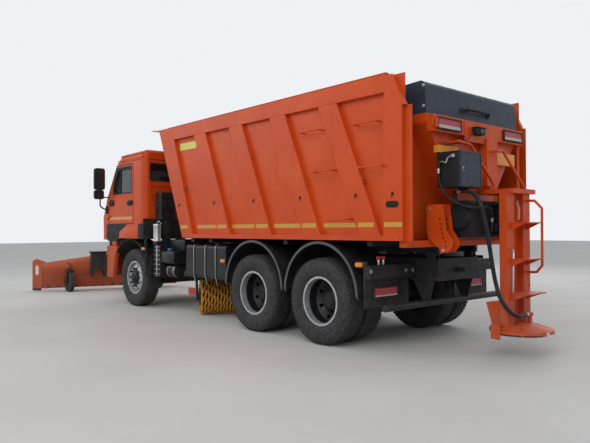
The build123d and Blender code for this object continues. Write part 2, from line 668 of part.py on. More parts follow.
def make_brush_frame():
    """Lift frame over the brush: two arms, a cross-tube and end plates with bearings."""
    front = brush_pivot_run()
    frame = None
    for s in (-1, 1):
        for offset in (-60, 60):
            a = brush_place(hanger_along(s) + offset, front, BRUSH_PIVOT_Z)
            way, _ = brush_way()
            lug_a = tuple(Vector(*a) - way * 10)
            lug_b = tuple(Vector(*a) + way * 10)
            bar = rod(lug_a, lug_b, 45)
            frame = bar if frame is None else frame + bar
            b = brush_place(hanger_along(s) + offset, front - 120, BRUSH_PIVOT_Z)
            frame = frame + rod(a, b, 9)
        frame = frame - ring_hole(s, front)
    cross_a = brush_place(-BRUSH_LENGTH / 2 - 50, front - 130, BRUSH_PIVOT_Z)
    cross_b = brush_place(BRUSH_LENGTH / 2 + 50, front - 130, BRUSH_PIVOT_Z)
    frame = frame + rod(cross_a, cross_b, 38)
    for s in (-1, 1):
        a = brush_place(s * (BRUSH_LENGTH / 2 + 38), front - 130, BRUSH_PIVOT_Z)
        b = brush_place(s * (BRUSH_LENGTH / 2 + 38), 0, BRUSH_Z)
        frame = frame + rod(a, b, 22)
        way, _ = brush_way()
        mid = Vector(*b)
        frame = frame + rod(tuple(mid - way * 14), tuple(mid + way * 14), 60)
        frame = frame - rod(tuple(mid - way * 30), tuple(mid + way * 30), BRUSH_AXLE_R + RUN_GAP)
    return frame


def ring_hole(side, front):
    """Bore through both lugs of one arm."""
    way, _ = brush_way()
    mid = Vector(*brush_place(hanger_along(side), front, BRUSH_PIVOT_Z))
    return rod(tuple(mid - way * 90), tuple(mid + way * 90), BRUSH_AXLE_R + RUN_GAP)


def make_brush_roller():
    """Brush drum with grooved bristle rings on one shaft."""
    a = Vector(*brush_place(-BRUSH_LENGTH / 2, 0, BRUSH_Z))
    b = Vector(*brush_place(BRUSH_LENGTH / 2, 0, BRUSH_Z))
    way, _ = brush_way()
    pitch = BRUSH_LENGTH / BRUSH_RINGS
    rows = [(0, 0)]
    for i in range(BRUSH_RINGS):
        rows += [(BRUSH_R - BRUSH_GROOVE, i * pitch), (BRUSH_R, (i + 0.2) * pitch), (BRUSH_R, (i + 0.8) * pitch)]
    rows += [(BRUSH_R - BRUSH_GROOVE, BRUSH_LENGTH), (0, BRUSH_LENGTH)]
    drum = Solid.revolve(outline_face(rows, lambda u, v: Vector(u, 0, v)), 360, Axis.Z)
    drum = Plane(origin=a, z_dir=way) * drum
    shaft = rod(tuple(a - way * 60), tuple(b + way * 60), BRUSH_AXLE_R)
    collar = rod(tuple(a - way * 10), tuple(b + way * 10), BRUSH_CORE_R)
    return drum + shaft + collar


# Cab
def cab_profile():
    """Side outline of the cab, counter-clockwise in x, z."""
    return [(CAB_REAR, CAB_FLOOR), (350, CAB_FLOOR), (900, CAB_SKIRT), (CAB_FRONT, CAB_SKIRT), (CAB_FRONT + 15, 1650, 150),
            (SCREEN_FOOT[0], SCREEN_FOOT[1], 150), (SCREEN_TOP[0], SCREEN_TOP[1], 150), (350, CAB_TOP - 35, 200),
            (CAB_REAR, CAB_TOP - 20, 70)]


def cab_body(depth):
    """Cab's outer form moved inward by depth."""
    half = CAB_HALF - depth
    body = side_slab(inset_corners(cab_profile(), depth), -half, half)
    low = CAB_FLOOR + depth + 5
    edges = [e for e in body.edges() if abs(abs(e.center().Y) - half) < 1 and e.center().Z > low]
    return body.fillet(max(CAB_EDGE - depth, 20), edges)


def door_outline(grow):
    """Door's outline in x, z, moved outward by grow."""
    rows = [(DOOR_REAR, DOOR_FOOT), (DOOR_FRONT, DOOR_FOOT), (DOOR_FRONT, 2050, 40), (500, DOOR_TOP, 60),
            (DOOR_REAR, DOOR_TOP, 60)]
    return inset_corners(rows, -grow)


def door_window(grow):
    """Side window's outline in x, z."""
    rows = [(DOOR_REAR + 50, SILL_Z, 20), (650, SILL_Z, 20), (650, 2230, 60), (450, 2525, 40), (DOOR_REAR + 50, 2525, 40)]
    return inset_corners(rows, -grow)


def screen_cutter():
    """Slanted prism through the windscreen."""
    (x0, z0), (x1, z1) = SCREEN_FOOT, SCREEN_TOP
    lean = atan2(x0 - x1, z1 - z0)
    length = hypot(x0 - x1, z1 - z0)
    plane = Plane(origin=((x0 + x1) / 2, 0, (z0 + z1) / 2), x_dir=(0, 1, 0), z_dir=(cos(lean), 0, sin(lean)))
    half = CAB_HALF - 130
    low, high = -length / 2 + 60, length / 2 - 30
    face = outline_face([(-half, low, 80), (half, low, 80), (half - 40, high, 80), (-half + 40, high, 80)],
                        lambda u, v: plane.from_local_coords(Vector(u, v, -160)))
    return Solid.extrude(face, plane.z_dir * 320)


def rear_window_cutter(side):
    y0, y1, z0, z1 = REAR_WINDOW
    rows = [(side * y0, z0, 40), (side * y1, z0, 40), (side * y1, z1, 40), (side * y0, z1, 40)]
    if side < 0:
        rows.reverse()
    return front_slab(rows, CAB_REAR - 50, CAB_REAR + 120)


def make_cab_shell():
    """Hollow cab with its openings, door jambs, rear ribs and pivot lugs."""
    shell = cab_body(0) - cab_body(CAB_WALL)
    doorway = side_slab(door_outline(SEAM), CAB_HALF - CAB_WALL - 60, CAB_HALF + 60)
    shell = shell - doorway - mirrored(doorway) - screen_cutter()
    for s in (-1, 1):
        shell = shell - rear_window_cutter(s)
    for z in (1500, 1680, 1860, 2040):
        shell = shell + block(CAB_REAR - 12, CAB_REAR + 1, -1080, 1080, z, z + 60)
    px, pz = CAB_PIVOT
    for y in (-380, 380):
        lug = side_slab([(px - 45, pz - 20, 20), (px + 20, pz - 45, 30), (px + 45, pz, 30), (px + 40, CAB_SKIRT + 20),
                         (px - 90, CAB_SKIRT + 20), (px - 90, CAB_SKIRT - 20)], y - 18, y + 18)
        lug = lug - rod((px, y - 40, pz), (px, y + 40, pz), PIN_R + RUN_GAP)
        shell = shell + lug
    for z in HINGE_Z:
        shell = shell + pair(hinge_part(z - 40, z, True))
    half, z0, z1 = GRILLE
    shell = shell - block(CAB_FRONT - GRILLE_DEEP, CAB_FRONT + 60, -half, half, z0, z1)
    fender = side_slab([(CAB_REAR + 5, CAB_FLOOR + 2), (250, CAB_FLOOR - 2), (371, 1240), (371, 1364), (178, 1439), (60, 1506),
                        (CAB_REAR + 5, 1506)], CAB_HALF - 1, CAB_HALF + FENDER_OUT)
    gutter = block(CAB_REAR + 60, 330, CAB_HALF - 40, CAB_HALF + 4, 2762, 2780)
    return shell + pair(fender) + pair(gutter - cab_body(30))


def make_cab_trim():
    """Dark plastic of the cab: grille bars, panels behind the front corners and the sun visor."""
    half, z0, z1 = GRILLE
    back, front = CAB_FRONT - GRILLE_DEEP + REST_GAP, CAB_FRONT + 4
    pitch = (z1 - z0 - 24) / (GRILLE_BARS - 1)
    grille = block(back, front - 8, -14, 14, z0 + 2, z1 - 2)
    for s in (-1, 1):
        grille = grille + block(back, front, s * (half - 2), s * (half - 30), z0 + 2, z1 - 2)
    for i in range(GRILLE_BARS):
        z = z0 + 2 + i * pitch
        grille = grille + block(back, front, -half + 3, half - 3, z, z + 20)
    panel = side_slab([(372, 1250), (519, 1190), (876, 1186), (941, 1256), (941, DOOR_FOOT - 12), (100, DOOR_FOOT - 12),
                       (178, 1442), (372, 1366)], CAB_HALF + REST_GAP, CAB_HALF + FENDER_OUT - 6)
    visor = side_slab([(560, 2637), (800, 2600), (812, 2616), (560, 2776)], -1060, 1060) - cab_body(-REST_GAP)
    return solids_of(grille, panel, mirrored(panel), visor)


def hinge_part(z0, z1, fixed):
    """Barrel and strap of a door hinge; the fixed one carries the pin."""
    x, y = HINGE_X, HINGE_Y
    barrel = rod((x, y, z0 + 0.3), (x, y, z1 - 0.3), HINGE_R)
    if fixed:
        strap = block(x, x + 60, CAB_HALF - 20, y + 6, z0 + 0.3, z1 - 0.3)
        barrel = barrel + strap + rod((x, y, z1 - 10), (x, y, z1 + 36), HINGE_PIN_R)
        return barrel
    strap = block(x - 60, x, CAB_HALF - 1, y + 6, z0 + 0.3, z1 - 0.3)
    return (barrel + strap) - rod((x, y, z0 - 5), (x, y, z1 + 5), HINGE_PIN_R + RUN_GAP)


def make_door(side):
    """Door panel with its window cut and handle."""
    door = side_slab(door_outline(0), CAB_HALF - CAB_WALL, CAB_HALF)
    door = door - side_slab(door_window(0), CAB_HALF - CAB_WALL - 10, CAB_HALF + 10)
    for z in HINGE_Z:
        door = door + hinge_part(z, z + 40, False)
    door = door + block(-110, 40, CAB_HALF - 1, CAB_HALF + 24, 1880, 1910)
    return door if side > 0 else mirrored(door)


def make_door_glass(side):
    """Side window."""
    glass = side_slab(door_window(0), CAB_HALF - GLASS_IN - GLASS_WALL, CAB_HALF - GLASS_IN)
    return glass if side > 0 else mirrored(glass)


def make_cab_glass():
    """Windscreen and two rear windows, in their openings."""
    layer = cab_body(GLASS_IN) - cab_body(GLASS_IN + GLASS_WALL)
    return solids_of(layer & screen_cutter(), layer & rear_window_cutter(1), layer & rear_window_cutter(-1))


def make_cab_interior():
    """Dash with the steering wheel, and two seats."""
    floor = CAB_FLOOR + CAB_WALL
    half = CAB_HALF - CAB_WALL - 40
    dash = side_slab([(760, floor + 250), (1110, floor + 250), (1110, 1620), (960, 1900), (880, 1950, 40), (700, 1800, 60)],
                     -half, half)
    leg = block(920, 1080, -120, 120, CAB_SKIRT + CAB_WALL, floor + 260)
    column = rod((830, 560, 1800), (520, 560, 1990), 30)
    wheel = Plane(origin=(520, 560, 1990), z_dir=(-0.85, 0, 0.52)) * Torus(210, 16)
    spoke = Plane(origin=(520, 560, 1990), z_dir=(-0.85, 0, 0.52)) * Box(420, 40, 12)
    shapes = [dash + leg + column + spoke + wheel]
    for y in (-560, 560):
        base = block(-330, 150, y - 190, y + 190, floor, floor + 330)
        cushion = block(-360, 190, y - 250, y + 250, floor + 329, floor + 460)
        back = side_slab([(-350, floor + 450), (-230, floor + 450), (-330, floor + 1060, 40), (-440, floor + 1060, 40)],
                         y - 240, y + 240)
        shapes.append(base + cushion + back)
    return solids_of(*shapes)


def make_mirrors():
    """Two mirrors a side on an arm from the cab's front corner, and the dark corner panels."""
    mount = block(900, 960, CAB_HALF, CAB_HALF + 30, 1720, 1860)
    arm = bent_bar([(930, CAB_HALF + 20, 1790), (980, CAB_HALF + 130, 1850), (980, CAB_HALF + 130, 2560)], 14)
    upper = block(950, 1010, CAB_HALF + 40, CAB_HALF + 250, 2180, 2600)
    lower = block(950, 1010, CAB_HALF + 50, CAB_HALF + 240, 1960, 2150)
    piece = arm + upper + lower + mount
    return solids_of(piece, mirrored(piece))


# Bed


def make_bed_floor():
    """Floor plate on two long beams, with hinge ears and the hoist's bracket."""
    half = BED_SHEET_Y - BED_SKIN
    nose = lean_x(BED_NOSE, 3030, BED_FLOOR) - 40
    floor = block(BED_TAIL, nose, -half, half, BED_FLOOR, BED_FLOOR + 12)
    for y in (-385, 385):
        floor = floor + block(BED_TAIL + 150, nose - 40, y - 27, y + 27, FRAME_TOP + 60, BED_FLOOR + 1)
    for x in (-2100, -2600, -4350, -5800):
        floor = floor + block(x - 40, x + 40, -half, half, 1205, BED_FLOOR + 1)
    floor = floor + block(BED_TAIL, BED_TAIL + 90, -half, half, 1200, BED_FLOOR + 1)
    hx, hz = BED_PIVOT
    ear = side_slab([(hx - 60, BED_FLOOR), (hx - 42, hz - 40, 30), (hx + 42, hz - 40, 30), (hx + 60, BED_FLOOR)], 366, 404)
    floor = floor + pair(ear)
    ex, ez = HOIST_EYE
    for y in (-60, 60):
        floor = floor + side_slab([(ex - 50, BED_FLOOR + 1), (ex - 40, ez - 40, 25), (ex + 40, ez - 40, 25),
                                   (ex + 50, BED_FLOOR + 1)], y - 10, y + 10)
    floor = floor - pair(rod((hx, 300, hz), (hx, 460, hz), BED_PIN_R + RUN_GAP))
    return floor + rod((ex, -70, ez), (ex, 70, ez), PIN_R)


def make_bed_front():
    """Leaning front wall with ribs and the visor plate over the cab."""
    half = BED_SHEET_Y - BED_SKIN
    z0, z1 = BED_FLOOR + 12, BED_RAIL_TOP
    x0, x1 = lean_x(BED_NOSE, 3030, z0) - 60, lean_x(BED_NOSE, 3030, z1) - 60
    wall = side_slab([(x0, z0), (x0 + 11, z0), (x1 + 11, z1), (x1, z1)], -half, half)
    for z in (1600, 2000, 2400, 2800):
        x = lean_x(BED_NOSE, 3030, z) - 60
        wall = wall + block(x + 5, x + 70, -half, half, z, z + 50)
    visor = side_slab([(x1 - 5, BED_RAIL_TOP - 30), (x1 + 8, BED_RAIL_TOP - 30), (-750, 3118), (-750, 3130), (x1 - 5, BED_RAIL_TOP + 1)],
                      -half, half)
    return wall + visor


def make_bed_side(side):
    """Side sheet with rail, flange, slanted ribs, posts and climbing rungs."""
    sheet_in = BED_SHEET_Y - BED_SKIN
    foot_x = lean_x(BED_NOSE, 3030, BED_FLOOR)
    top_x = lean_x(BED_NOSE, 3030, BED_RAIL_TOP)
    panel = side_slab([(BED_TAIL, BED_FLOOR), (foot_x, BED_FLOOR), (top_x, BED_RAIL_TOP), (BED_TAIL, BED_RAIL_TOP - 30)],
                      sheet_in, BED_SHEET_Y)
    rail = block(-6100, top_x - 300, BED_SHEET_Y - 1, BED_HALF, BED_RAIL_FOOT, BED_RAIL_TOP)
    flange = block(BED_TAIL, foot_x - 20, BED_SHEET_Y - 1, BED_HALF, BED_FLOOR, BED_FLOOR + 60)
    post = side_slab([(foot_x - 330, BED_FLOOR), (foot_x, BED_FLOOR), (top_x, BED_RAIL_TOP), (top_x - 415, BED_RAIL_TOP)],
                     BED_SHEET_Y - 1, BED_HALF)
    rear = block(BED_TAIL - 1, -6050, BED_SHEET_Y - 1, BED_HALF, BED_FLOOR, 2700)
    gusset = side_slab([(BED_TAIL - 40, 2700), (-6050, 2700), (-6090, 3050), (-6180, 3050)], BED_SHEET_Y - 1, BED_HALF)
    strip = block(BED_TAIL - 90, BED_TAIL, BED_SHEET_Y - 8, BED_SHEET_Y + 4, BED_FLOOR, 2700)
    shape = panel + rail + flange + post + rear + gusset + strip
    for i in range(RIB_COUNT):
        x = RIB_FIRST - i * RIB_PITCH
        foot = lean_x(x, BED_RAIL_FOOT, BED_FLOOR + 1, RIB_LEAN)
        shape = shape + side_slab([(foot, BED_FLOOR + 1), (foot + RIB_WIDTH, BED_FLOOR + 1), (x + RIB_WIDTH, BED_RAIL_FOOT + 1),
                                   (x, BED_RAIL_FOOT + 1)], BED_SHEET_Y - 1, BED_HALF)
    for x, z in RUNGS:
        bar = bent_bar([(x, BED_SHEET_Y - 4, z), (x, BED_HALF + 50, z), (x - 340, BED_HALF + 50, z),
                        (x - 340, BED_SHEET_Y - 4, z)], 9)
        shape = shape + bar
    return shape if side > 0 else mirrored(shape)


# Spreader
def hopper_section(depth):
    """V section in y, z, moved inward by depth."""
    return [(-TROUGH_HALF + depth * 0.6, TROUGH_Z + depth), (TROUGH_HALF - depth * 0.6, TROUGH_Z + depth),
            (HOPPER_HALF - depth, 2540), (HOPPER_HALF - depth, HOPPER_TOP + depth), (-HOPPER_HALF + depth, HOPPER_TOP + depth),
            (-HOPPER_HALF + depth, 2540)]


def make_hopper():
    """V-shaped hopper with end walls, rim, trough and legs on the bed floor."""
    shell = front_slab(hopper_section(0), HOPPER_TAIL, HOPPER_FRONT)
    shell = shell - front_slab(hopper_section(HOPPER_WALL), HOPPER_TAIL + HOPPER_WALL, HOPPER_FRONT - HOPPER_WALL)
    floor = BED_FLOOR + 12
    for x in (HOPPER_FRONT - 150, -3600, -4900, -6150):
        for s in (-1, 1):
            gusset = front_slab([(s * 300, floor), (s * 900, floor), (s * (HOPPER_HALF - 3), 2500), (s * (HOPPER_HALF - 120), 2400),
                                 (s * (TROUGH_HALF + 8), TROUGH_Z + 12), (s * 180, TROUGH_Z + 1), (s * 180, floor)][::s],
                                x - 6, x + 6)
            shell = shell + gusset
    for s in (-1, 1):
        y = s * 245
        shell = shell + block(HOPPER_TAIL + 8, HOPPER_FRONT - 8, y - 45, y + 45, floor, floor + 80)
        shell = shell + block(HOPPER_TAIL, HOPPER_TAIL + 9, s * 150, s * 320, floor, TROUGH_Z + 30)
    shell = shell + block(HOPPER_TAIL - 90, HOPPER_TAIL + 1, -940, 940, 2440, 2620)
    plate = side_slab([(-6290, 1660), (-6290, 1384), (-6304, 1296), (-6452, 1186), (-6466, 1131), (-6568, 1152, 25),
                       (-6611, 1202, 25), (-6625, 1263, 25), (-6541, 1384), (-6500, 1660)], -6, 6)
    for x, z in PLATE_HOLES:
        plate = plate - rod((x, -20, z), (x, 20, z), 12)
    for y in (680, 800):
        shell = shell + pair(Pos(0, y, 0) * plate)
    shell = shell + block(HOPPER_TAIL, BED_TAIL, -806, 806, floor, floor + 60)
    x = HOPPER_TAIL - 98
    shell = shell + block(x, x + 10, -300, 370, 2380, 2600)
    shell = shell + block(HOPPER_TAIL - 120, HOPPER_TAIL + 1, -280, -50, COLUMN_TOP + 61, 2442)
    x = HOPPER_TAIL - 200
    shell = shell + bent_bar([(HOPPER_TAIL + 2, 640, 2340), (x, 640, 2340), (x, 420, 2320), (x, -46, 1913), (x, -58, 1850)], 16)
    shell = shell + bent_bar([(HOPPER_TAIL - 119, -150, 2300), (x, -150, 2300), (x, -260, 2309), (x, -792, 1873)], 16)
    shell = shell + rod((HOPPER_TAIL - 40, -900, 1890), (HOPPER_TAIL - 40, -900, 2480), 20)
    hx, hz = HOOD_HINGE
    ear = block(hx - 24, hx + 26, HOOD_EAR_Y, HOOD_EAR_Y + 12, HOPPER_TOP - 60, hz + 14)
    ear = ear + block(hx - 24, hx + 26, HOPPER_HALF - 1, HOOD_EAR_Y + 12, HOPPER_TOP - 60, HOPPER_TOP - 20)
    ear = ear + rod((hx, HOPPER_HALF + 2, hz), (hx, HOOD_EAR_Y + 6, hz), CABINET_HINGE_R)
    return shell + pair(ear)


def make_hood():
    """Hinged cover over the hopper's rear, a shell open below."""
    half = HOPPER_HALF
    z0 = HOPPER_TOP + REST_GAP
    rows = [(HOPPER_TAIL - 1, z0), (HOOD_FRONT, z0), (HOOD_FRONT, HOOD_TOP - 60, 60), (HOPPER_TAIL + 20, HOOD_TOP, 60)][::-1]
    outer = side_slab(rows, -half, half)
    inner_rows = [(HOPPER_TAIL + 7, z0 - 20), (HOOD_FRONT - 8, z0 - 20), (HOOD_FRONT - 8, HOOD_TOP - 68, 50),
                  (HOPPER_TAIL + 26, HOOD_TOP - 8, 50)][::-1]
    hood = outer - side_slab(inner_rows, -half + 8, half - 8)
    handle = bent_bar([(HOPPER_TAIL + 12, -150, 2760), (HOPPER_TAIL - 50, -150, 2760), (HOPPER_TAIL - 50, 150, 2760),
                       (HOPPER_TAIL + 12, 150, 2760)], 9)
    hx, hz = HOOD_HINGE
    y0, y1 = HOPPER_HALF + 2, HOOD_EAR_Y - 2
    knuckle = rod((hx, y0, hz), (hx, y1, hz), 15) + block(hx - 70, hx, HOPPER_HALF - 1, y1, hz - 14, hz + 15)
    knuckle = knuckle - rod((hx, HOPPER_HALF - 1, hz), (hx, y1 + 10, hz), CABINET_HINGE_R + RUN_GAP)
    return hood + handle + pair(knuckle)


def cabinet_hinge(low, own_pin):
    """One knuckle of the cabinet door's hinge; the cabinet's carries the pin."""
    x0, _, y0, _, _, _ = CABINET
    x, y = x0 + 2 - CABINET_HINGE_R, y0 - 1 - CABINET_HINGE_R
    high = low + 40 - REST_GAP
    knuckle = rod((x, y, low), (x, y, high), CABINET_HINGE_R)
    if own_pin:
        strap = block(x0 + REST_GAP, x0 + 40, y - CABINET_HINGE_R, y0 + 1, low, high)
        return knuckle + strap + rod((x, y, low), (x, y, high + 38), CABINET_PIN_R)
    strap = block(x - CABINET_HINGE_R, x, y, y0 + 40, low, high)
    return (knuckle + strap) - rod((x, y, low - 5), (x, y, high + 5), CABINET_PIN_R + RUN_GAP)


def make_cabinet():
    """Hollow control cabinet, open to the rear, on a bracket from the hopper."""
    x0, x1, y0, y1, z0, z1 = CABINET
    box = block(x0, x1, y0, y1, z0, z1) - block(x0 - 10, x1 - 12, y0 + 12, y1 - 12, z0 + 12, z1 - 12)
    box = box + cabinet_hinge(1900, True) + cabinet_hinge(2120, True)
    x, y, z = HOSE_THIN[0]
    box = box + bent_bar([(x, y1 - 5, z + 75), (x, y, z + 75), (x, y, z + REST_GAP)], THIN_HOSE_R)
    return box + block(x1 - 1, HOPPER_TAIL, y0 + 10, y0 + 210, z1 - 110, z1 - 20)


def make_cabinet_door():
    """Flat door over the cabinet's rear."""
    x0, x1, y0, y1, z0, z1 = CABINET
    door = block(x0 - 16, x0 - REST_GAP, y0, y1, z0, z1) + cabinet_hinge(1940, False) + cabinet_hinge(2160, False)
    return door + rod((x0 - 15, y1 - 60, (z0 + z1) / 2), (x0 - 34, y1 - 60, (z0 + z1) / 2), 14)


def make_drive_housing():
    """Drive housing of the spreader: gearbox with ribs, louvres, a coupling and two hose fittings."""
    body = block(-6700, -6500, -170, 620, 1300, 1700)
    body = body + block(-6501, HOPPER_TAIL, -100, 100, 1400, 1600)
    body = body + rod((-6600, 619, 1520), (-6600, 665, 1520), 120)
    for y in (-120, 20, 300):
        body = body + block(-6730, -6699, y, y + 30, 1330, 1670)
    for i in range(4):
        z = 1490 + i * 34
        body = body + block(-6710, -6699, 400, 610, z, z + 16)
    x, y, z = HOUSING_FITTING
    for side_y in (y, y - 80):
        body = body + block(x, -6699, side_y - 14, side_y + 14, z - 110, z - 80) + rod((x, side_y, z - 100), (x, side_y, z - 12), 17)
    body = body + hose_end(HOSE_THIN[-1], HOSE_THIN[-2], 40, THIN_HOSE_R)
    elbow = Vector(*HOSE_MAIN[0]) + (Vector(*HOSE_MAIN[0]) - Vector(*HOSE_MAIN[1])).normalized() * 30
    body = body + hose_end(HOSE_MAIN[0], HOSE_MAIN[1], 30, HOSE_R - 2)
    return body + Pos(*elbow) * Sphere(HOSE_R) + rod((elbow.X, elbow.Y, 1699), tuple(elbow), HOSE_R - 2)


def make_chute_column():
    """Chute column behind the hopper: posts, steps, hand rail, chute, flap and the spinner's cover."""
    column = block(COLUMN_X - 100, -6550, -250, 230, COLUMN_TOP - 50, COLUMN_TOP)
    link = block(-6560, HOPPER_TAIL, -160, -60, COLUMN_TOP - 12, COLUMN_TOP + 60)
    for s in (-1, 1):
        column = column + block(COLUMN_X - 30, COLUMN_X + 30, s * 100, s * 250, SPINNER_Z + 45, COLUMN_TOP - 5)
    column = column + block(COLUMN_X + 29, COLUMN_X + 60, -250, 250, 340, COLUMN_TOP - 5)
    for z, reach in STEPS:
        column = column + block(reach, COLUMN_X - 10, -170, 170, z, z + 12)
        for s in (-1, 1):
            column = column + side_slab([(COLUMN_X - 20, z - 80), (COLUMN_X - 20, z + 5), (reach + 10, z + 5)][::-1],
                                        s * 160 - 5, s * 160 + 5)
    column = column + bent_bar([(COLUMN_X - 25, -200, 1708), (-7014, -200, 1706), (-7098, -200, 1619), (-7096, -200, 986),
                                (-7031, -200, 911), (COLUMN_X - 25, -200, 906)], 14)
    chute = side_slab([(-6642, 578), (-6845, 608), (-6845, 330), (-6713, 335)], -200, 200)
    z = SPINNER_Z
    wall = 6
    dome = Solid.revolve(outline_face([(60, z + 75), (200, z + 62), (SPINNER_R, z + 15), (SPINNER_R, z - 15),
                                       (SPINNER_R - wall, z - 15), (SPINNER_R - wall, z + 10), (198, z + 56), (60, z + 69)],
                                      lambda u, v: Vector(u, 0, v)), 360, Axis.Z)
    hub = Solid.make_cylinder(62, 12, Plane(origin=(0, 0, z + 68)))
    bearing = Solid.make_cylinder(40, 60, Plane(origin=(0, 0, z + 20))) - Solid.make_cylinder(
        20 + RUN_GAP, 30, Plane(origin=(0, 0, z + 10)))
    dome = Pos(SPINNER_X, 0, 0) * (dome + hub + bearing)
    flap = block(-6890, -6780, 336, 344, 205, 360) + block(-6870, -6800, 290, 340, z - 2, z + 10)
    fx, fy, fz = HOSE_FITTING
    fitting = rod((fx, fy, fz), (fx, fy - 70, fz), 27) + rod((fx, fy - 40, fz), (fx, fy - 40, z + 60), 22)
    return column + dome + link + chute + flap + fitting


def hose_end(end, inner, reach, radius):
    """Short pipe in line with a hose's last run, just clear of its end."""
    way = (Vector(*end) - Vector(*inner)).normalized()
    return rod(tuple(Vector(*end) + way * REST_GAP), tuple(Vector(*end) + way * reach), radius)


def make_hose(corners, radius):
    """Hose of straight runs, joined by arcs as large as the runs allow."""
    bends = []
    for before, corner, after in zip(corners, corners[1:], corners[2:]):
        into, out = Vector(*corner) - Vector(*before), Vector(*after) - Vector(*corner)
        bends.append(BEND_SHARE * min(into.length, out.length) / tan(radians(into.get_angle(out)) / 2))
    print("hose bends in mm:", [round(bend) for bend in bends])
    route = FilletPolyline(*corners, radius=bends)
    start = Plane(origin=Vector(*corners[0]), z_dir=Vector(*corners[1]) - Vector(*corners[0]))
    return sweep(start * Circle(radius), path=route)


def make_spinner_disc():
    """Spinning disc with six vanes and its shaft."""
    disc = Solid.make_cylinder(280, 8, Plane(origin=(0, 0, SPINNER_Z - 45)))
    shaft = Solid.make_cylinder(20, 80, Plane(origin=(0, 0, SPINNER_Z - 45)))
    spinner = disc + shaft
    for i in range(6):
        vane = Rot(0, 0, i * 60) * block(60, 270, -4, 4, SPINNER_Z - 38, SPINNER_Z - 5)
        spinner = spinner + vane
    return Pos(SPINNER_X, 0, 0) * spinner


# Lamps
def make_chassis_lamps():
    """Headlamps and rear lamps."""
    y0, y1, z0, z1 = HEADLAMP
    rear = block(-5800, -5780, 705, 1113, 624, 734)
    head = block(1165 + REST_GAP, 1204, y0 + 5, y1 - 5, z0 + 5, z1 - 5)
    return solids_of(rear, mirrored(rear), head, mirrored(head))


def make_bed_lamps():
    """Upper rear lamps and the two amber lamps under them."""
    x = HOPPER_TAIL - 90
    upper = block(x - 20, x, 461, 891, 2470, 2585)
    left = block(HOPPER_TAIL - 70, HOPPER_TAIL - REST_GAP, 460, 820, 2222, 2300)
    right = block(HOPPER_TAIL - 70, HOPPER_TAIL - REST_GAP, -770, -320, 2165, 2310)
    return solids_of(upper, mirrored(upper), left, right)


# Hoist
def hoist_angle():
    return degrees(atan2(HOIST_EYE[1] - HOIST_FOOT[1], HOIST_EYE[0] - HOIST_FOOT[0]))


def hoist_point(distance):
    a = radians(hoist_angle())
    return (HOIST_FOOT[0] + distance * cos(a), 0, HOIST_FOOT[1] + distance * sin(a))


def make_hoist_barrel():
    length = hypot(HOIST_EYE[0] - HOIST_FOOT[0], HOIST_EYE[1] - HOIST_FOOT[1])
    barrel = rod(hoist_point(90), hoist_point(length - 250), 80) + rod(hoist_point(10), hoist_point(95), 40)
    barrel = barrel - rod(hoist_point(120), hoist_point(length), 45 + RUN_GAP)
    eye = rod((HOIST_FOOT[0], -55, HOIST_FOOT[1]), (HOIST_FOOT[0], 55, HOIST_FOOT[1]), 42)
    barrel = barrel + eye
    return barrel - rod((HOIST_FOOT[0], -90, HOIST_FOOT[1]), (HOIST_FOOT[0], 90, HOIST_FOOT[1]), PIN_R + RUN_GAP)


def make_hoist_rod():
    length = hypot(HOIST_EYE[0] - HOIST_FOOT[0], HOIST_EYE[1] - HOIST_FOOT[1])
    shaft = rod(hoist_point(140), hoist_point(length - 20), 45)
    ex, ez = HOIST_EYE
    shaft = shaft + rod((ex, -40, ez), (ex, 40, ez), HOIST_EYE_R)
    return shaft - rod((ex, -60, ez), (ex, 60, ez), HOIST_EYE_BORE)


# Plough
def plough_way():
    a = radians(PLOUGH_SKEW)
    return Vector(sin(a), cos(a), 0), Vector(cos(a), -sin(a), 0)


def plough_place(along, front, z):
    """Point by the blade: distance along it towards the left, distance in front, height."""
    way, ahead = plough_way()
    point = Vector(PLOUGH_MID[0], PLOUGH_MID[1], 0) + way * along + ahead * front
    return Vector(point.X, point.Y, z)


def blade_section(along, height, wall):
    """Curved section of the mouldboard at a place along it, as a wire."""
    rows = [(0, 0), (-BLADE_SAG * height, height * 0.45), (-BLADE_LEAN * height, height)]
    back = [plough_place(along, r[0] - wall, PLOUGH_FOOT + r[1]) for r in rows]
    front = [plough_place(along, r[0], PLOUGH_FOOT + r[1]) for r in rows]
    edges = [Edge.make_three_point_arc(back[0], back[1], back[2]), Edge.make_line(back[2], front[2]),
             Edge.make_three_point_arc(front[2], front[1], front[0]), Edge.make_line(front[0], back[0])]
    return Wire(edges)


def blade_height(along):
    share = (along + PLOUGH_HALF) / (2 * PLOUGH_HALF)
    return BLADE_RIGHT_H + (BLADE_LEFT_H - BLADE_RIGHT_H) * share


def blade_rib(along):
    """Flat rib behind the mouldboard, from its foot to its top."""
    height = blade_height(along)
    way, _ = plough_way()
    skin = BLADE_WALL / 2
    rows = [(-skin, 0), (-skin - BLADE_SAG * height, height * 0.45), (-skin - BLADE_LEAN * height, height)]
    front = [plough_place(along - 5, r[0], PLOUGH_FOOT + r[1]) for r in rows]
    outer = [plough_place(along - 5, -skin - BLADE_LEAN * height - 40, PLOUGH_FOOT + height),
             plough_place(along - 5, -BEAM_BACK - 20, BEAM_Z), plough_place(along - 5, -60, PLOUGH_FOOT)]
    edges = [Edge.make_three_point_arc(*front), Edge.make_line(front[2], outer[0]), Edge.make_line(outer[0], outer[1]),
             Edge.make_line(outer[1], outer[2]), Edge.make_line(outer[2], front[0])]
    return Solid.extrude(Face(Wire(edges)), way * 10)


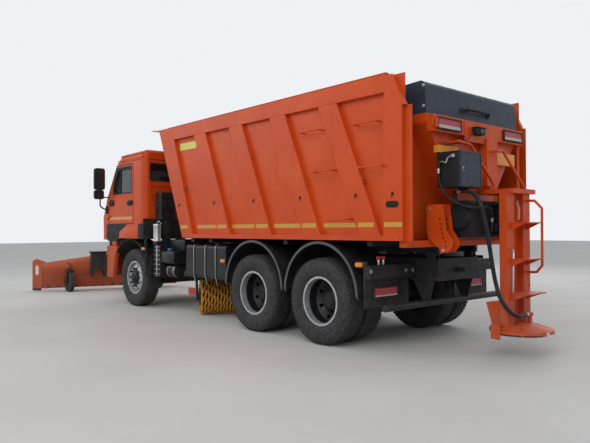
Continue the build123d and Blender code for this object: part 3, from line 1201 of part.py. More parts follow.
def make_plough_blade():
    """Flaring mouldboard with back ribs, a beam, the swing lug and the sockets of the support wheels."""
    blade = Solid.make_loft([blade_section(-PLOUGH_HALF, BLADE_RIGHT_H, BLADE_WALL),
                             blade_section(PLOUGH_HALF, BLADE_LEFT_H, BLADE_WALL)], ruled=True)
    start = plough_place(-PLOUGH_HALF + 200, -BEAM_BACK, BEAM_Z)
    end = plough_place(PLOUGH_HALF - 200, -BEAM_BACK, BEAM_Z)
    blade = blade + rod(tuple(start), tuple(end), BEAM_R)
    for i in range(RIB_BACK):
        blade = blade + blade_rib(-RIB_END + i * 2 * RIB_END / (RIB_BACK - 1))
    for s in (-1, 1):
        top = plough_place(s * STEM_ALONG, -STEM_BACK, 0)
        socket = rod((top.X, top.Y, STEM_TOP - 110), (top.X, top.Y, STEM_TOP), STEM_R + 20)
        seat = plough_place(s * STEM_ALONG, -BEAM_BACK, BEAM_Z)
        arm = rod(tuple(seat), (top.X, top.Y, STEM_TOP - 60), 22)
        blade = blade + socket + arm
        blade = blade - rod((top.X, top.Y, 300), (top.X, top.Y, 1000), STEM_R + RUN_GAP)
    lug = Solid.make_cylinder(70, 2 * SWING_HALF, Plane(origin=(SWING_X, 0, SWING_Z - SWING_HALF)))
    reach = plough_place(0, -BEAM_BACK, SWING_Z)
    arm = Pos((SWING_X + reach.X) / 2, reach.Y / 2, SWING_Z) * Rot(
        0, 0, degrees(atan2(reach.Y, reach.X - SWING_X))) * Box(hypot(reach.X - SWING_X, reach.Y), 110, 90)
    blade = blade + lug + arm + plough_wing()
    return blade - Solid.make_cylinder(SWING_PIN_R + RUN_GAP, 400, Plane(origin=(SWING_X, 0, SWING_Z - 200)))


def wing_way():
    """Unit vectors along the wing plate and square to it."""
    way, ahead = plough_way()
    a = radians(WING_TURN)
    return way * cos(a) + ahead * sin(a), ahead * cos(a) - way * sin(a)


def wing_face(corners):
    """Outline on the wing plate, in distance along it and height."""
    start = plough_place(PLOUGH_HALF - WING_ROOT, -BLADE_WALL - WING_ROOT, 0)
    along, _ = wing_way()
    return outline_face(corners, lambda u, v: start + along * u + Vector(0, 0, v))


def plough_wing():
    """Plate at the blade's left end, turned forward, with an oval hole."""
    _, out = wing_way()
    plate = Solid.extrude(wing_face([(0, PLOUGH_FOOT), (WING_LONG, PLOUGH_FOOT, 20), (WING_LONG, 690, 60), (300, 740, 80),
                                     (0, 660)]), out * WING_WALL)
    hole = Solid.extrude(wing_face([(240, 365, 50), (350, 365, 50), (350, 595, 50), (240, 595, 50)]), out * 60)
    return plate - (Pos(*(out * -20)) * hole)


def plough_block(along0, along1, front0, front1, z0, z1):
    """Box lined up with the blade."""
    centre = plough_place((along0 + along1) / 2, (front0 + front1) / 2, (z0 + z1) / 2)
    return Pos(centre.X, centre.Y, centre.Z) * Rot(0, 0, -PLOUGH_SKEW) * Box(front1 - front0, along1 - along0, z1 - z0)


def make_plough_carrier():
    """Dark box with legs and a top plate behind the blade, and the skid under its wing."""
    a0, a1, back, foot, top = CARRIER
    front = -BEAM_BACK - BEAM_R - REST_GAP
    box = plough_block(a0, a1, back, front, foot + 150, top - 14)
    box = box + plough_block(a0 - 25, a1 + 25, back - 25, front, top - 15, top)
    for along in (a0, a1 - 60):
        for start in (back, front - 60):
            box = box + plough_block(along, along + 60, start, start + 60, foot, foot + 151)
    along, out = wing_way()
    start = plough_place(PLOUGH_HALF, -BLADE_WALL, 0) + along * 30
    shoe = Plane(origin=(start.X, start.Y, 15), x_dir=along, z_dir=(0, 0, 1)) * block(0, 210, -30, 30, 0, PLOUGH_FOOT - 15 - REST_GAP)
    return solids_of(box, shoe)


def make_plough_frame():
    """Lift frame from the truck's plate to the blade's swing pin."""
    x, z = PLOUGH_PIVOT
    low, high = SWING_Z - SWING_HALF - REST_GAP - SWING_PLATE, SWING_Z + SWING_HALF + REST_GAP
    eye = rod((x, PLOUGH_EYE_Y - PLOUGH_EYE_HALF, z), (x, PLOUGH_EYE_Y + PLOUGH_EYE_HALF, z), 48)
    inner, outer = PLOUGH_EYE_Y - PLOUGH_EYE_HALF, PLOUGH_EYE_Y + PLOUGH_EYE_HALF
    bar = plan_slab([(x, inner), (x + 120, inner), (SWING_X - 80, 60), (SWING_X - 80, 140), (x + 120, outer), (x, outer)],
                    z - 40, z + 60)
    side = (eye + bar) - rod((x, 0, z), (x, 600, z), PIN_R + RUN_GAP)
    frame = pair(side)
    for cx in (2050, 2550):
        frame = frame + block(cx - 40, cx + 40, -230, 230, z - 30, z + 50)
    frame = frame + block(SWING_X - 150, SWING_X - 80, -140, 140, low, high + SWING_PLATE)
    for z0 in (low, high):
        frame = frame + plan_slab([(SWING_X - 110, -110), (SWING_X + 70, -60, 40), (SWING_X + 70, 60, 40),
                                   (SWING_X - 110, 110)], z0, z0 + SWING_PLATE)
    pin = Solid.make_cylinder(SWING_PIN_R, high - low + SWING_PLATE, Plane(origin=(SWING_X, 0, low)))
    return frame + pin


def stem_place(side):
    point = plough_place(side * STEM_ALONG, -STEM_BACK, 0)
    return point.X, point.Y


def make_plough_fork(side):
    """Swivel fork of a support wheel."""
    x, y = stem_place(side)
    stem = rod((x, y, STEM_TOP - 150), (x, y, STEM_TOP + 20), STEM_R)
    crown_z = STEM_TOP - 150
    crown = block(x - 140, x + 40, y - 80, y + 80, crown_z - 16, crown_z + 1)
    collar = rod((x, y, crown_z), (x, y, STEM_TOP - 110 - REST_GAP), STEM_R + 14)
    leg = side_slab([(x - TRAIL - 40, PLOUGH_WHEEL_R - 40, 30), (x - TRAIL + 40, PLOUGH_WHEEL_R - 40, 30), (x + 20, crown_z),
                     (x - 120, crown_z)], y - 5, y + 5)
    fork = stem + crown + collar
    for s in (-1, 1):
        fork = fork + Pos(0, s * 70, 0) * leg
    hole = rod((x - TRAIL, y - 100, PLOUGH_WHEEL_R), (x - TRAIL, y + 100, PLOUGH_WHEEL_R), PLOUGH_AXLE_R + RUN_GAP)
    return fork - hole


def make_plough_wheel(side):
    """Solid-tyred support wheel on its axle."""
    x, y = stem_place(side)
    wheel = turned([(0.0, -PLOUGH_WHEEL_HALF + 10), (120, -PLOUGH_WHEEL_HALF + 10), (130, -PLOUGH_WHEEL_HALF),
                    (PLOUGH_WHEEL_R, -PLOUGH_WHEEL_HALF, 25), (PLOUGH_WHEEL_R, PLOUGH_WHEEL_HALF, 25), (130, PLOUGH_WHEEL_HALF),
                    (120, PLOUGH_WHEEL_HALF - 10), (0.0, PLOUGH_WHEEL_HALF - 10)], y, 1)
    axle = rod((0, y - 90, 0), (0, y + 90, 0), PLOUGH_AXLE_R)
    return Pos(x - TRAIL, 0, PLOUGH_WHEEL_R) * (wheel + axle)


# Assembly
def build_parts():
    parts = {}
    parts["chassis_frame"] = make_chassis_frame()
    parts["axles"] = make_axles()
    parts["powertrain"] = make_powertrain()
    parts["fuel_tank"] = make_fuel_tank()
    parts["side_boxes"] = make_side_boxes()
    parts["bumper"] = make_bumper()
    parts["mudguards"] = make_mudguards()
    parts["rear_bar"] = make_rear_bar()
    parts["chassis_lamps"] = make_chassis_lamps()
    parts["track_rod"] = make_track_rod()
    for name, side in (("left", 1), ("right", -1)):
        parts["knuckle_" + name] = make_knuckle(side)
        tyre_piece, rim_piece = front_wheel(side)
        parts["front_tyre_" + name] = placed(tyre_piece, 0)
        parts["front_rim_" + name] = placed(rim_piece, 0)
        tyres, rims = rear_wheel(side)
        for number, x in enumerate(REAR_AXLES, 1):
            parts["rear_tyres_%d_%s" % (number, name)] = placed(tyres, x)
            parts["rear_rims_%d_%s" % (number, name)] = placed(rims, x)
        parts["door_" + name] = make_door(side)
        parts["door_glass_" + name] = make_door_glass(side)
        parts["bed_side_" + name] = make_bed_side(side)
    parts["cab_shell"] = make_cab_shell()
    parts["cab_glass"] = make_cab_glass()
    parts["cab_interior"] = make_cab_interior()
    parts["cab_trim"] = make_cab_trim()
    parts["mirrors"] = make_mirrors()
    parts["bed_floor"] = make_bed_floor()
    parts["bed_front"] = make_bed_front()
    parts["hopper"] = make_hopper()
    parts["hood"] = make_hood()
    parts["cabinet"] = make_cabinet()
    parts["cabinet_door"] = make_cabinet_door()
    parts["drive_housing"] = make_drive_housing()
    parts["chute_column"] = make_chute_column()
    parts["spinner_disc"] = make_spinner_disc()
    parts["bed_lamps"] = make_bed_lamps()
    parts["hose_main"] = make_hose(HOSE_MAIN, HOSE_R)
    parts["hose_thin"] = make_hose(HOSE_THIN, THIN_HOSE_R)
    parts["hoist_barrel"] = make_hoist_barrel()
    parts["hoist_rod"] = make_hoist_rod()
    parts["brush_frame"] = make_brush_frame()
    parts["brush_roller"] = make_brush_roller()
    parts["plough_blade"] = make_plough_blade()
    parts["plough_carrier"] = make_plough_carrier()
    parts["plough_frame"] = make_plough_frame()
    for name, side in (("left", 1), ("right", -1)):
        parts["plough_fork_" + name] = make_plough_fork(side)
        parts["plough_wheel_" + name] = make_plough_wheel(side)
    return parts


def base_shift(parts):
    """Move from the datum frame to the middle of the footprint."""
    boxes = [shape.bounding_box() for shape in parts.values()]
    middle_x = (min(b.min.X for b in boxes) + max(b.max.X for b in boxes)) / 2
    middle_y = (min(b.min.Y for b in boxes) + max(b.max.Y for b in boxes)) / 2
    return Vector(-middle_x, -middle_y, 0)


def main():
    os.makedirs("parts", exist_ok=True)
    parts = build_parts()
    shift = base_shift(parts)
    for name, shape in parts.items():
        solids = [Pos(shift.X, shift.Y, shift.Z) * solid for solid in shape.solids()]
        export_step(solids[0] if len(solids) == 1 else Compound(solids), "parts/" + name + ".step")


if __name__ == "__main__":
    main()
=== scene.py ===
"""Looks of a 6x4 dump truck with a spreader, a road brush and a snow plough.

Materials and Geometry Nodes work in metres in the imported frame. Drawing places are millimetres in the truck's
datum frame (ground under the front axle's middle, +X forward, +Y left, +Z up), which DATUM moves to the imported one.
"""
import json
import logging
from dataclasses import dataclass
from enum import Enum
from math import cos, pi, radians, sin

import bmesh
import bpy
from mathutils import Matrix, Vector


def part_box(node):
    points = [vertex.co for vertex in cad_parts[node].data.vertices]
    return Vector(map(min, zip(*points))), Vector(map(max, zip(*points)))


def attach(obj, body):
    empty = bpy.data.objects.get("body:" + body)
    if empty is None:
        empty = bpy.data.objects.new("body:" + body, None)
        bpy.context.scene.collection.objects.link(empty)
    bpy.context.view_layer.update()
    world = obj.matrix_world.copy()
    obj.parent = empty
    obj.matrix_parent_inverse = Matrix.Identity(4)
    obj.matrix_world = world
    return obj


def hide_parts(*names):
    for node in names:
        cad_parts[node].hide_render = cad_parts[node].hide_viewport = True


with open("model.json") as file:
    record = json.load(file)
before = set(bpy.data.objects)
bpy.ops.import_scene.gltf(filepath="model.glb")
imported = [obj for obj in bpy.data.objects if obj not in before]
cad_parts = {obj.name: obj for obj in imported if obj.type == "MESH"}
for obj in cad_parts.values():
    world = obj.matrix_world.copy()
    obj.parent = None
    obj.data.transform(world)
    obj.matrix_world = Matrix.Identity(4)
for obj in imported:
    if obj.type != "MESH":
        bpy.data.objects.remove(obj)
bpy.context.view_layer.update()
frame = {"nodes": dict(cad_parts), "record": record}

logging.basicConfig(level=logging.INFO, format="%(message)s")
log = logging.getLogger("truck")

Socket = bpy.types.NodeSocket
Item = bpy.types.Object
Point = tuple[float, float, float]
Colour = tuple[float, float, float]
Outline = list[tuple[float, float]]
Rows = list[tuple[Point, Point]]
Track = list[tuple[Vector, Vector, float]]
Shapes = tuple[tuple, ...]

MM = 1000.0  # millimetres in a metre
TANK_PLACE = (-3.025, 0.6, 0.0)  # low corner of the fuel tank's box in the datum frame, in metres
EDGE_SAMPLES, EDGE_DOTS = 4, (0.80, 0.985)  # rays of an edge's normal; where wear is full and where it has gone
CORNER_STEPS = 4
BEVEL_ANGLE, SHARP_ANGLE = radians(35), radians(38)
SHARPEST = 0.2  # limits how far an inset may move a sharp corner
TYRE_R, NUTS = 527.0, 10
SPINNER_X = -6950.0
AXLES = {"front": 0.0, "mid": -3690.0, "rear": -5010.0}


class Axis(Enum):
    """Direction that an outline is made thick along."""

    X = 0
    Y = 1
    Z = 2

    def put(self, u: float, v: float, w: float) -> Vector:
        """Point from two outline values, in x, y, z order, and one along the axis."""
        row = [u, v]
        row.insert(self.value, w)
        return Vector(row)


class Side(Enum):
    """Side of the truck; the value is the sign of y."""

    LEFT = 1
    RIGHT = -1

    @property
    def word(self) -> str:
        """Name used in node and body names."""
        return self.name.lower()


class Spread(Enum):
    """How a piece is laid over the truck's two sides."""

    ONE = "as drawn"
    BOTH = "as drawn and mirrored, in one piece"
    PAIR = "one piece a side, each on its side's own body"


X, Y, Z = Axis
ONE, BOTH, PAIR = Spread


@dataclass(frozen=True)
class Datum:
    """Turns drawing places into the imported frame.

    Args:
        shift: Place of the datum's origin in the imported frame.
    """

    shift: Vector

    @classmethod
    def read(cls) -> "Datum":
        """Works the shift out from the fuel tank's box, whose drawing place is known."""
        low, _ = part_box("fuel_tank")
        return cls(Vector((low[0] - TANK_PLACE[0], low[1] - TANK_PLACE[1], 0.0)))

    def at(self, x: float, y: float, z: float) -> Vector:
        """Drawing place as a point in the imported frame."""
        return Vector((x, y, z)) / MM + self.shift

    def back(self, place: Vector) -> Point:
        """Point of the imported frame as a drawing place."""
        return tuple((place - self.shift) * MM)


DATUM = Datum.read()


class Graph:
    """Node tree that is filled with short calls."""

    def __init__(self, tree: bpy.types.NodeTree) -> None:
        """Takes a tree over and empties it."""
        self.tree = tree
        tree.nodes.clear()

    def link(self, source: Socket, target: Socket) -> None:
        """Joins two sockets."""
        self.tree.links.new(source, target)

    def add(self, kind: str, inputs: dict[str | int, object] | None = None, **settings: object) -> bpy.types.Node:
        """Adds a node.

        Args:
            kind: Node's type.
            inputs: Input's name or number, to a socket or a value.
            settings: Attributes of the node, set before its inputs.

        Returns:
            The new node.
        """
        node = self.tree.nodes.new(kind)
        for key, value in settings.items():
            setattr(node, key, value)
        for key, value in (inputs or {}).items():
            if isinstance(value, Socket):
                self.link(value, node.inputs[key])
            else:
                node.inputs[key].default_value = value
        return node

    def first(self, kind: str, inputs: dict[str | int, object] | None = None, **settings: object) -> Socket:
        """First output of a node that is added the same way."""
        return self.add(kind, inputs, **settings).outputs[0]


# Materials
class Sheet(Graph):
    """Tree of one material: a Principled shader on Object coordinates."""

    def __init__(self, name: str, **values: float | Colour) -> None:
        """Starts the tree.

        Args:
            name: Material's name.
            values: Plain shader values; underscores in names stand for spaces.
        """
        self.material = bpy.data.materials.new(name)
        self.material.use_nodes = True
        super().__init__(self.material.node_tree)
        self.shader = self.add("ShaderNodeBsdfPrincipled")
        self.add("ShaderNodeOutputMaterial", {0: self.shader.outputs[0]})
        self.place = self.add("ShaderNodeTexCoord").outputs["Object"]
        for key, value in values.items():
            self.shader.inputs[key.replace("_", " ")].default_value = self.wide(value)

    @staticmethod
    def wide(value: object) -> object:
        """Colour with its alpha; anything else as it is."""
        return (*value, 1.0) if isinstance(value, tuple) else value

    def noise(self, scale: float, detail: float = 4.0, rough: float = 0.55, stretch: Point = (1, 1, 1)) -> Socket:
        """Noise factor of so many waves a metre, with its octaves, their share and a scale along each axis."""
        place = self.first("ShaderNodeMapping", {"Vector": self.place, "Scale": stretch})
        return self.first("ShaderNodeTexNoise", {"Vector": place, "Scale": scale, "Detail": detail, "Roughness": rough})

    def ramp(self, source: Socket, low: float, high: float, to_low: float = 0.0, to_high: float = 1.0) -> Socket:
        """Smooth remap of a factor between two limits."""
        return self.first("ShaderNodeMapRange", {"Value": source, "From Min": low, "From Max": high,
                                                 "To Min": to_low, "To Max": to_high}, interpolation_type="SMOOTHSTEP")

    def maths(self, kind: str, a: Socket | float, b: Socket | float = 0.0, clamp: bool = True) -> Socket:
        """One Math node with sockets or numbers as its inputs."""
        return self.first("ShaderNodeMath", {0: a, 1: b}, operation=kind, use_clamp=clamp)

    def mix(self, factor: Socket | float, a: Socket | Colour, b: Socket | Colour) -> Socket:
        """Mix of two colours; the factor is the second one's share."""
        return self.add("ShaderNodeMix", {0: factor, 6: self.wide(a), 7: self.wide(b)}, data_type="RGBA").outputs[2]

    def part(self, axis: Axis) -> Socket:
        """One coordinate of the place."""
        return self.add("ShaderNodeSeparateXYZ", {0: self.place}).outputs[axis.name]

    def height(self, low: float, high: float) -> Socket:
        """Factor of 1 below one height in metres, which fades out at another."""
        return self.ramp(self.part(Z), low, high, 1.0, 0.0)

    def round_normal(self, width: float) -> Socket:
        """Normal that looks rounded at edges."""
        return self.first("ShaderNodeBevel", {"Radius": width}, samples=EDGE_SAMPLES)

    def edge(self, width: float) -> Socket:
        """Factor of 1 along sharp edges, from the difference between the rounded and the flat normal."""
        flat = self.add("ShaderNodeNewGeometry").outputs["Normal"]
        dot = self.add("ShaderNodeVectorMath", {0: self.round_normal(width), 1: flat}, operation="DOT_PRODUCT")
        return self.ramp(dot.outputs["Value"], *EDGE_DOTS, 1.0, 0.0)

    def bump(self, source: Socket, strength: float, distance: float, rounding: float = 0.0) -> None:
        """Bump from a factor.

        Args:
            source: Height factor.
            strength: Share of the full bump.
            distance: Height of the bump in metres.
            rounding: Radius in metres that edges look rounded by, or 0.
        """
        inputs = {"Strength": strength, "Distance": distance, "Height": source}
        if rounding > 0:
            inputs["Normal"] = self.round_normal(rounding)
        self.link(self.first("ShaderNodeBump", inputs), self.shader.inputs["Normal"])

    def close(self, colour: Socket, rough: Socket | None = None) -> bpy.types.Material:
        """Links the colour and, where there is one, the roughness.

        Returns:
            The finished material.
        """
        self.link(colour, self.shader.inputs["Base Color"])
        if rough is not None:
            self.link(rough, self.shader.inputs["Roughness"])
        return self.material


@dataclass(frozen=True)
class Kind:
    """Recipe of a material.

    Args:
        name: Material's name.
    """

    name: str

    def build(self) -> bpy.types.Material:
        """Makes the material."""
        raise NotImplementedError


@dataclass(frozen=True)
class Paint(Kind):
    """Painted steel with uneven colour, road dust, grime streaks and worn edges.

    Args:
        colour: Fresh paint.
        faded: Paint where sun and washing have paled it.
        dust_top: Height in metres where the dust has gone.
        dust_share: Most dust, from 0 to 1.
        chips: Colour shown at worn edges.
        chip_share: Share of the edges that is worn.
        rough: Roughness of clean paint.
        metal: Metallic share.
    """

    colour: Colour
    faded: Colour
    dust_top: float = 1.5
    dust_share: float = 0.45
    chips: Colour = (0.10, 0.075, 0.06)
    chip_share: float = 0.4
    rough: float = 0.38
    metal: float = 0.0

    def build(self) -> bpy.types.Material:
        """Makes the material.

        Returns:
            The finished material.
        """
        s = Sheet(self.name, Metallic=self.metal, IOR=1.45, Specular_IOR_Level=0.3, Coat_Weight=0.03,
                  Coat_Roughness=0.3)
        colour = s.mix(s.ramp(s.noise(1.7, 5.0), 0.35, 0.7), self.colour, self.faded)
        streak = s.ramp(s.noise(9.0, 5.0, 0.6, (1, 1, 0.12)), 0.52, 0.78, 0.0, 0.35)
        colour = s.mix(streak, colour, tuple(c * 0.55 for c in self.colour))
        patch = s.ramp(s.noise(5.5, 6.0, 0.65), 0.32, 0.62)
        dust = s.maths("MULTIPLY", s.maths("MULTIPLY", s.height(0.25, self.dust_top), patch), self.dust_share)
        fine = s.ramp(s.noise(60.0, 3.0), 0.35, 0.7, 0.6, 1.0)
        colour = s.mix(s.maths("MULTIPLY", dust, fine), colour, (0.23, 0.20, 0.17))
        worn = s.maths("MULTIPLY", s.edge(0.006), s.ramp(s.noise(22.0, 5.0, 0.7), 0.56, 0.68, 0.0, self.chip_share))
        clean = s.ramp(s.noise(14.0), 0.3, 0.7, self.rough - 0.06, self.rough + 0.1)
        s.bump(s.noise(85.0, 4.0, 0.6), 0.16, 0.0015, 0.004)
        return s.close(s.mix(worn, colour, self.chips), s.maths("ADD", s.ramp(dust, 0.0, 0.5, 0.0, 0.35), clean))


@dataclass(frozen=True)
class Moulding(Kind):
    """Grained dark plastic or rubber.

    Args:
        colour: Clean surface.
        pale: Colour where dust or age shows.
        grain: Waves of the grain per metre.
        rough: Roughness.
        dusty: Share of dust near the ground.
        depth: Height of the grain in metres.
    """

    colour: Colour
    pale: Colour
    grain: float = 320.0
    rough: float = 0.6
    dusty: float = 0.5
    depth: float = 0.0008

    def build(self) -> bpy.types.Material:
        """Makes the material.

        Returns:
            The finished material.
        """
        s = Sheet(self.name, IOR=1.45, Specular_IOR_Level=0.3)
        aged = tuple((a * 2 + b) / 3 for a, b in zip(self.colour, self.pale))
        colour = s.mix(s.ramp(s.noise(6.0, 6.0, 0.62), 0.4, 0.75), self.colour, aged)
        patch = s.ramp(s.noise(13.0, 5.0), 0.3, 0.65)
        dust = s.maths("MULTIPLY", s.maths("MULTIPLY", s.height(0.1, 1.3), patch), self.dusty)
        colour = s.mix(dust, colour, self.pale)
        colour = s.mix(s.maths("MULTIPLY", s.edge(0.005), 0.35), colour, self.pale)
        s.bump(s.noise(self.grain, 3.0, 0.7), 0.35, self.depth, 0.003)
        return s.close(colour, s.ramp(s.noise(30.0, 3.0), 0.3, 0.7, self.rough - 0.08, self.rough + 0.12))


@dataclass(frozen=True)
class Lens(Kind):
    """Ribbed plastic of a lamp, in bands of colour from the ground up.

    Args:
        bands: Height in metres where each band ends, and its colour.
        front: Colour of lamps at the truck's front.
    """

    bands: tuple[tuple[float, Colour], ...]
    front: Colour | None = None

    def build(self) -> bpy.types.Material:
        """Makes the material.

        Returns:
            The finished material.
        """
        s = Sheet(self.name, Roughness=0.25, IOR=1.5, Specular_IOR_Level=0.3, Coat_Weight=0.25, Coat_Roughness=0.1)
        colour = self.bands[-1][1]
        for top, band in self.bands[-2::-1]:
            colour = s.mix(s.height(top - 0.002, top + 0.002), colour, band)
        if self.front:
            colour = s.mix(s.ramp(s.part(X), 0.5, 0.6), colour, self.front)
        wave = s.add("ShaderNodeTexWave", {"Vector": s.place, "Scale": 90.0}, bands_direction="Y").outputs["Fac"]
        # Painted shade in the lens's ribs: the colour darkens along the wave's bands
        colour = s.mix(s.ramp(wave, 0.1, 0.9, 0.0, 0.22), colour, (0.16, 0.10, 0.09))
        s.bump(wave, 0.5, 0.002, 0.003)
        return s.close(s.mix(s.ramp(s.noise(25.0, 5.0), 0.45, 0.8, 0.0, 0.2), colour, (0.3, 0.27, 0.24)))


@dataclass(frozen=True)
class Pane(Kind):
    """Window glass with a thin film of dust; its dark colour is painted shade for the unlit cab behind it."""

    def build(self) -> bpy.types.Material:
        """Makes the material.

        Returns:
            The finished material.
        """
        # The dark base colour is painted shade: it stands for the unlit cab seen through the glass
        s = Sheet(self.name, Base_Color=(0.10, 0.13, 0.14), IOR=1.5, Transmission_Weight=0.94)
        s.link(s.ramp(s.noise(7.0, 6.0, 0.6), 0.45, 0.8, 0.03, 0.22), s.shader.inputs["Roughness"])
        s.bump(s.noise(1.5, 2.0), 0.05, 0.004)
        return s.material


@dataclass(frozen=True)
class BareMetal(Kind):
    """Bare or plated metal with scratches and dull spots.

    Args:
        colour: Metal's colour.
        dull: Colour of dull spots.
        rough: Roughness.
        grime: Share of dull spots.
    """

    colour: Colour
    dull: Colour
    rough: float
    grime: float

    def build(self) -> bpy.types.Material:
        """Makes the material.

        Returns:
            The finished material.
        """
        s = Sheet(self.name, Metallic=0.85)
        colour = s.mix(s.ramp(s.noise(18.0, 6.0, 0.65), 0.45, 0.72, 0.0, self.grime), self.colour, self.dull)
        low = s.maths("MULTIPLY", s.height(0.1, 1.0), s.ramp(s.noise(9.0, 4.0), 0.35, 0.7, 0.0, 0.45))
        s.bump(s.noise(140.0, 3.0), 0.15, 0.0008, 0.003)
        return s.close(s.mix(low, colour, (0.16, 0.14, 0.12)),
                       s.ramp(s.noise(45.0, 4.0, 0.6, (1, 1, 6)), 0.3, 0.7, self.rough - 0.1, self.rough + 0.2))


@dataclass(frozen=True)
class Rim(Kind):
    """Silver rim with painted shade that darkens it towards the hub and on the inner rims.

    Args:
        x: Axle's drawing place.
        inner: Radius in metres where the painted shade has taken over.
        outer: Radius in metres where the silver is unshaded.
        face: Distance from the truck's middle in metres where the silver starts, or 0; nearer the middle is painted
            shade.
    """

    x: float
    inner: float
    outer: float
    face: float = 0.0

    def build(self) -> bpy.types.Material:
        """Makes the material.

        Returns:
            The finished material.
        """
        s = Sheet(self.name, Metallic=0.55)
        middle = DATUM.at(self.x, 0, TYRE_R)
        flat = s.first("ShaderNodeVectorMath", {0: s.place, 1: (1, 0, 1), 2: (-middle.x, 0, -middle.z)},
                       operation="MULTIPLY_ADD")
        reach = s.add("ShaderNodeVectorMath", {0: flat}, operation="LENGTH")
        spots = s.ramp(s.noise(20.0, 6.0, 0.65), 0.42, 0.72, 0.0, 0.55)
        silver = s.mix(spots, (0.50, 0.51, 0.53), (0.20, 0.18, 0.16))
        # dark is painted shade: the hub and, past face, the inner rims are drawn as lying in the tyres' shade
        dark = s.mix(spots, (0.022, 0.022, 0.025), (0.05, 0.045, 0.04))
        clean = s.ramp(reach.outputs["Value"], self.inner, self.outer)
        if self.face > 0:
            far = s.maths("ABSOLUTE", s.maths("SUBTRACT", s.part(Y), middle.y, False), 0.0, False)
            clean = s.maths("MULTIPLY", clean, s.ramp(far, self.face - 0.012, self.face + 0.012))
        colour = s.mix(s.maths("MULTIPLY", s.edge(0.004), 0.35), s.mix(clean, dark, silver), (0.34, 0.33, 0.32))
        s.bump(s.noise(130.0, 3.0), 0.15, 0.0008, 0.003)
        return s.close(colour, s.ramp(s.noise(40.0, 4.0), 0.3, 0.7, 0.38, 0.62))


@dataclass(frozen=True)
class Tyre(Kind):
    """Rubber with wear and road dust."""

    def build(self) -> bpy.types.Material:
        """Makes the material.

        Returns:
            The finished material.
        """
        s = Sheet(self.name, IOR=1.45)
        colour = s.mix(s.ramp(s.noise(9.0, 6.0, 0.6), 0.35, 0.7), (0.016, 0.016, 0.018), (0.032, 0.032, 0.033))
        dust = s.ramp(s.noise(24.0, 6.0, 0.68), 0.42, 0.78, 0.0, 0.5)
        s.bump(s.noise(190.0, 4.0, 0.7), 0.3, 0.0012, 0.004)
        return s.close(s.mix(dust, colour, (0.11, 0.10, 0.09)), s.ramp(s.noise(40.0, 3.0), 0.3, 0.7, 0.62, 0.85))


@dataclass(frozen=True)
class Tape(Kind):
    """Worn retro-reflective tape or sticker with a fine cell pattern.

    Args:
        colour: Sheet's colour.
    """

    colour: Colour

    def build(self) -> bpy.types.Material:
        """Makes the material.

        Returns:
            The finished material.
        """
        s = Sheet(self.name, Roughness=0.4, Coat_Weight=0.3, Coat_Roughness=0.2)
        cell = s.first("ShaderNodeTexVoronoi", {"Vector": s.place, "Scale": 55.0}, feature="DISTANCE_TO_EDGE")
        colour = s.mix(s.ramp(cell, 0.02, 0.08, 0.3, 0.0), self.colour, tuple(c * 0.6 for c in self.colour))
        s.bump(cell, 0.2, 0.0006)
        return s.close(s.mix(s.ramp(s.noise(14.0, 6.0, 0.65), 0.5, 0.8, 0.0, 0.3), colour, (0.20, 0.17, 0.14)))


PINK_LENS, PALE_LENS, CLEAR_LENS = (0.55, 0.045, 0.06), (0.62, 0.58, 0.55), (0.62, 0.63, 0.64)
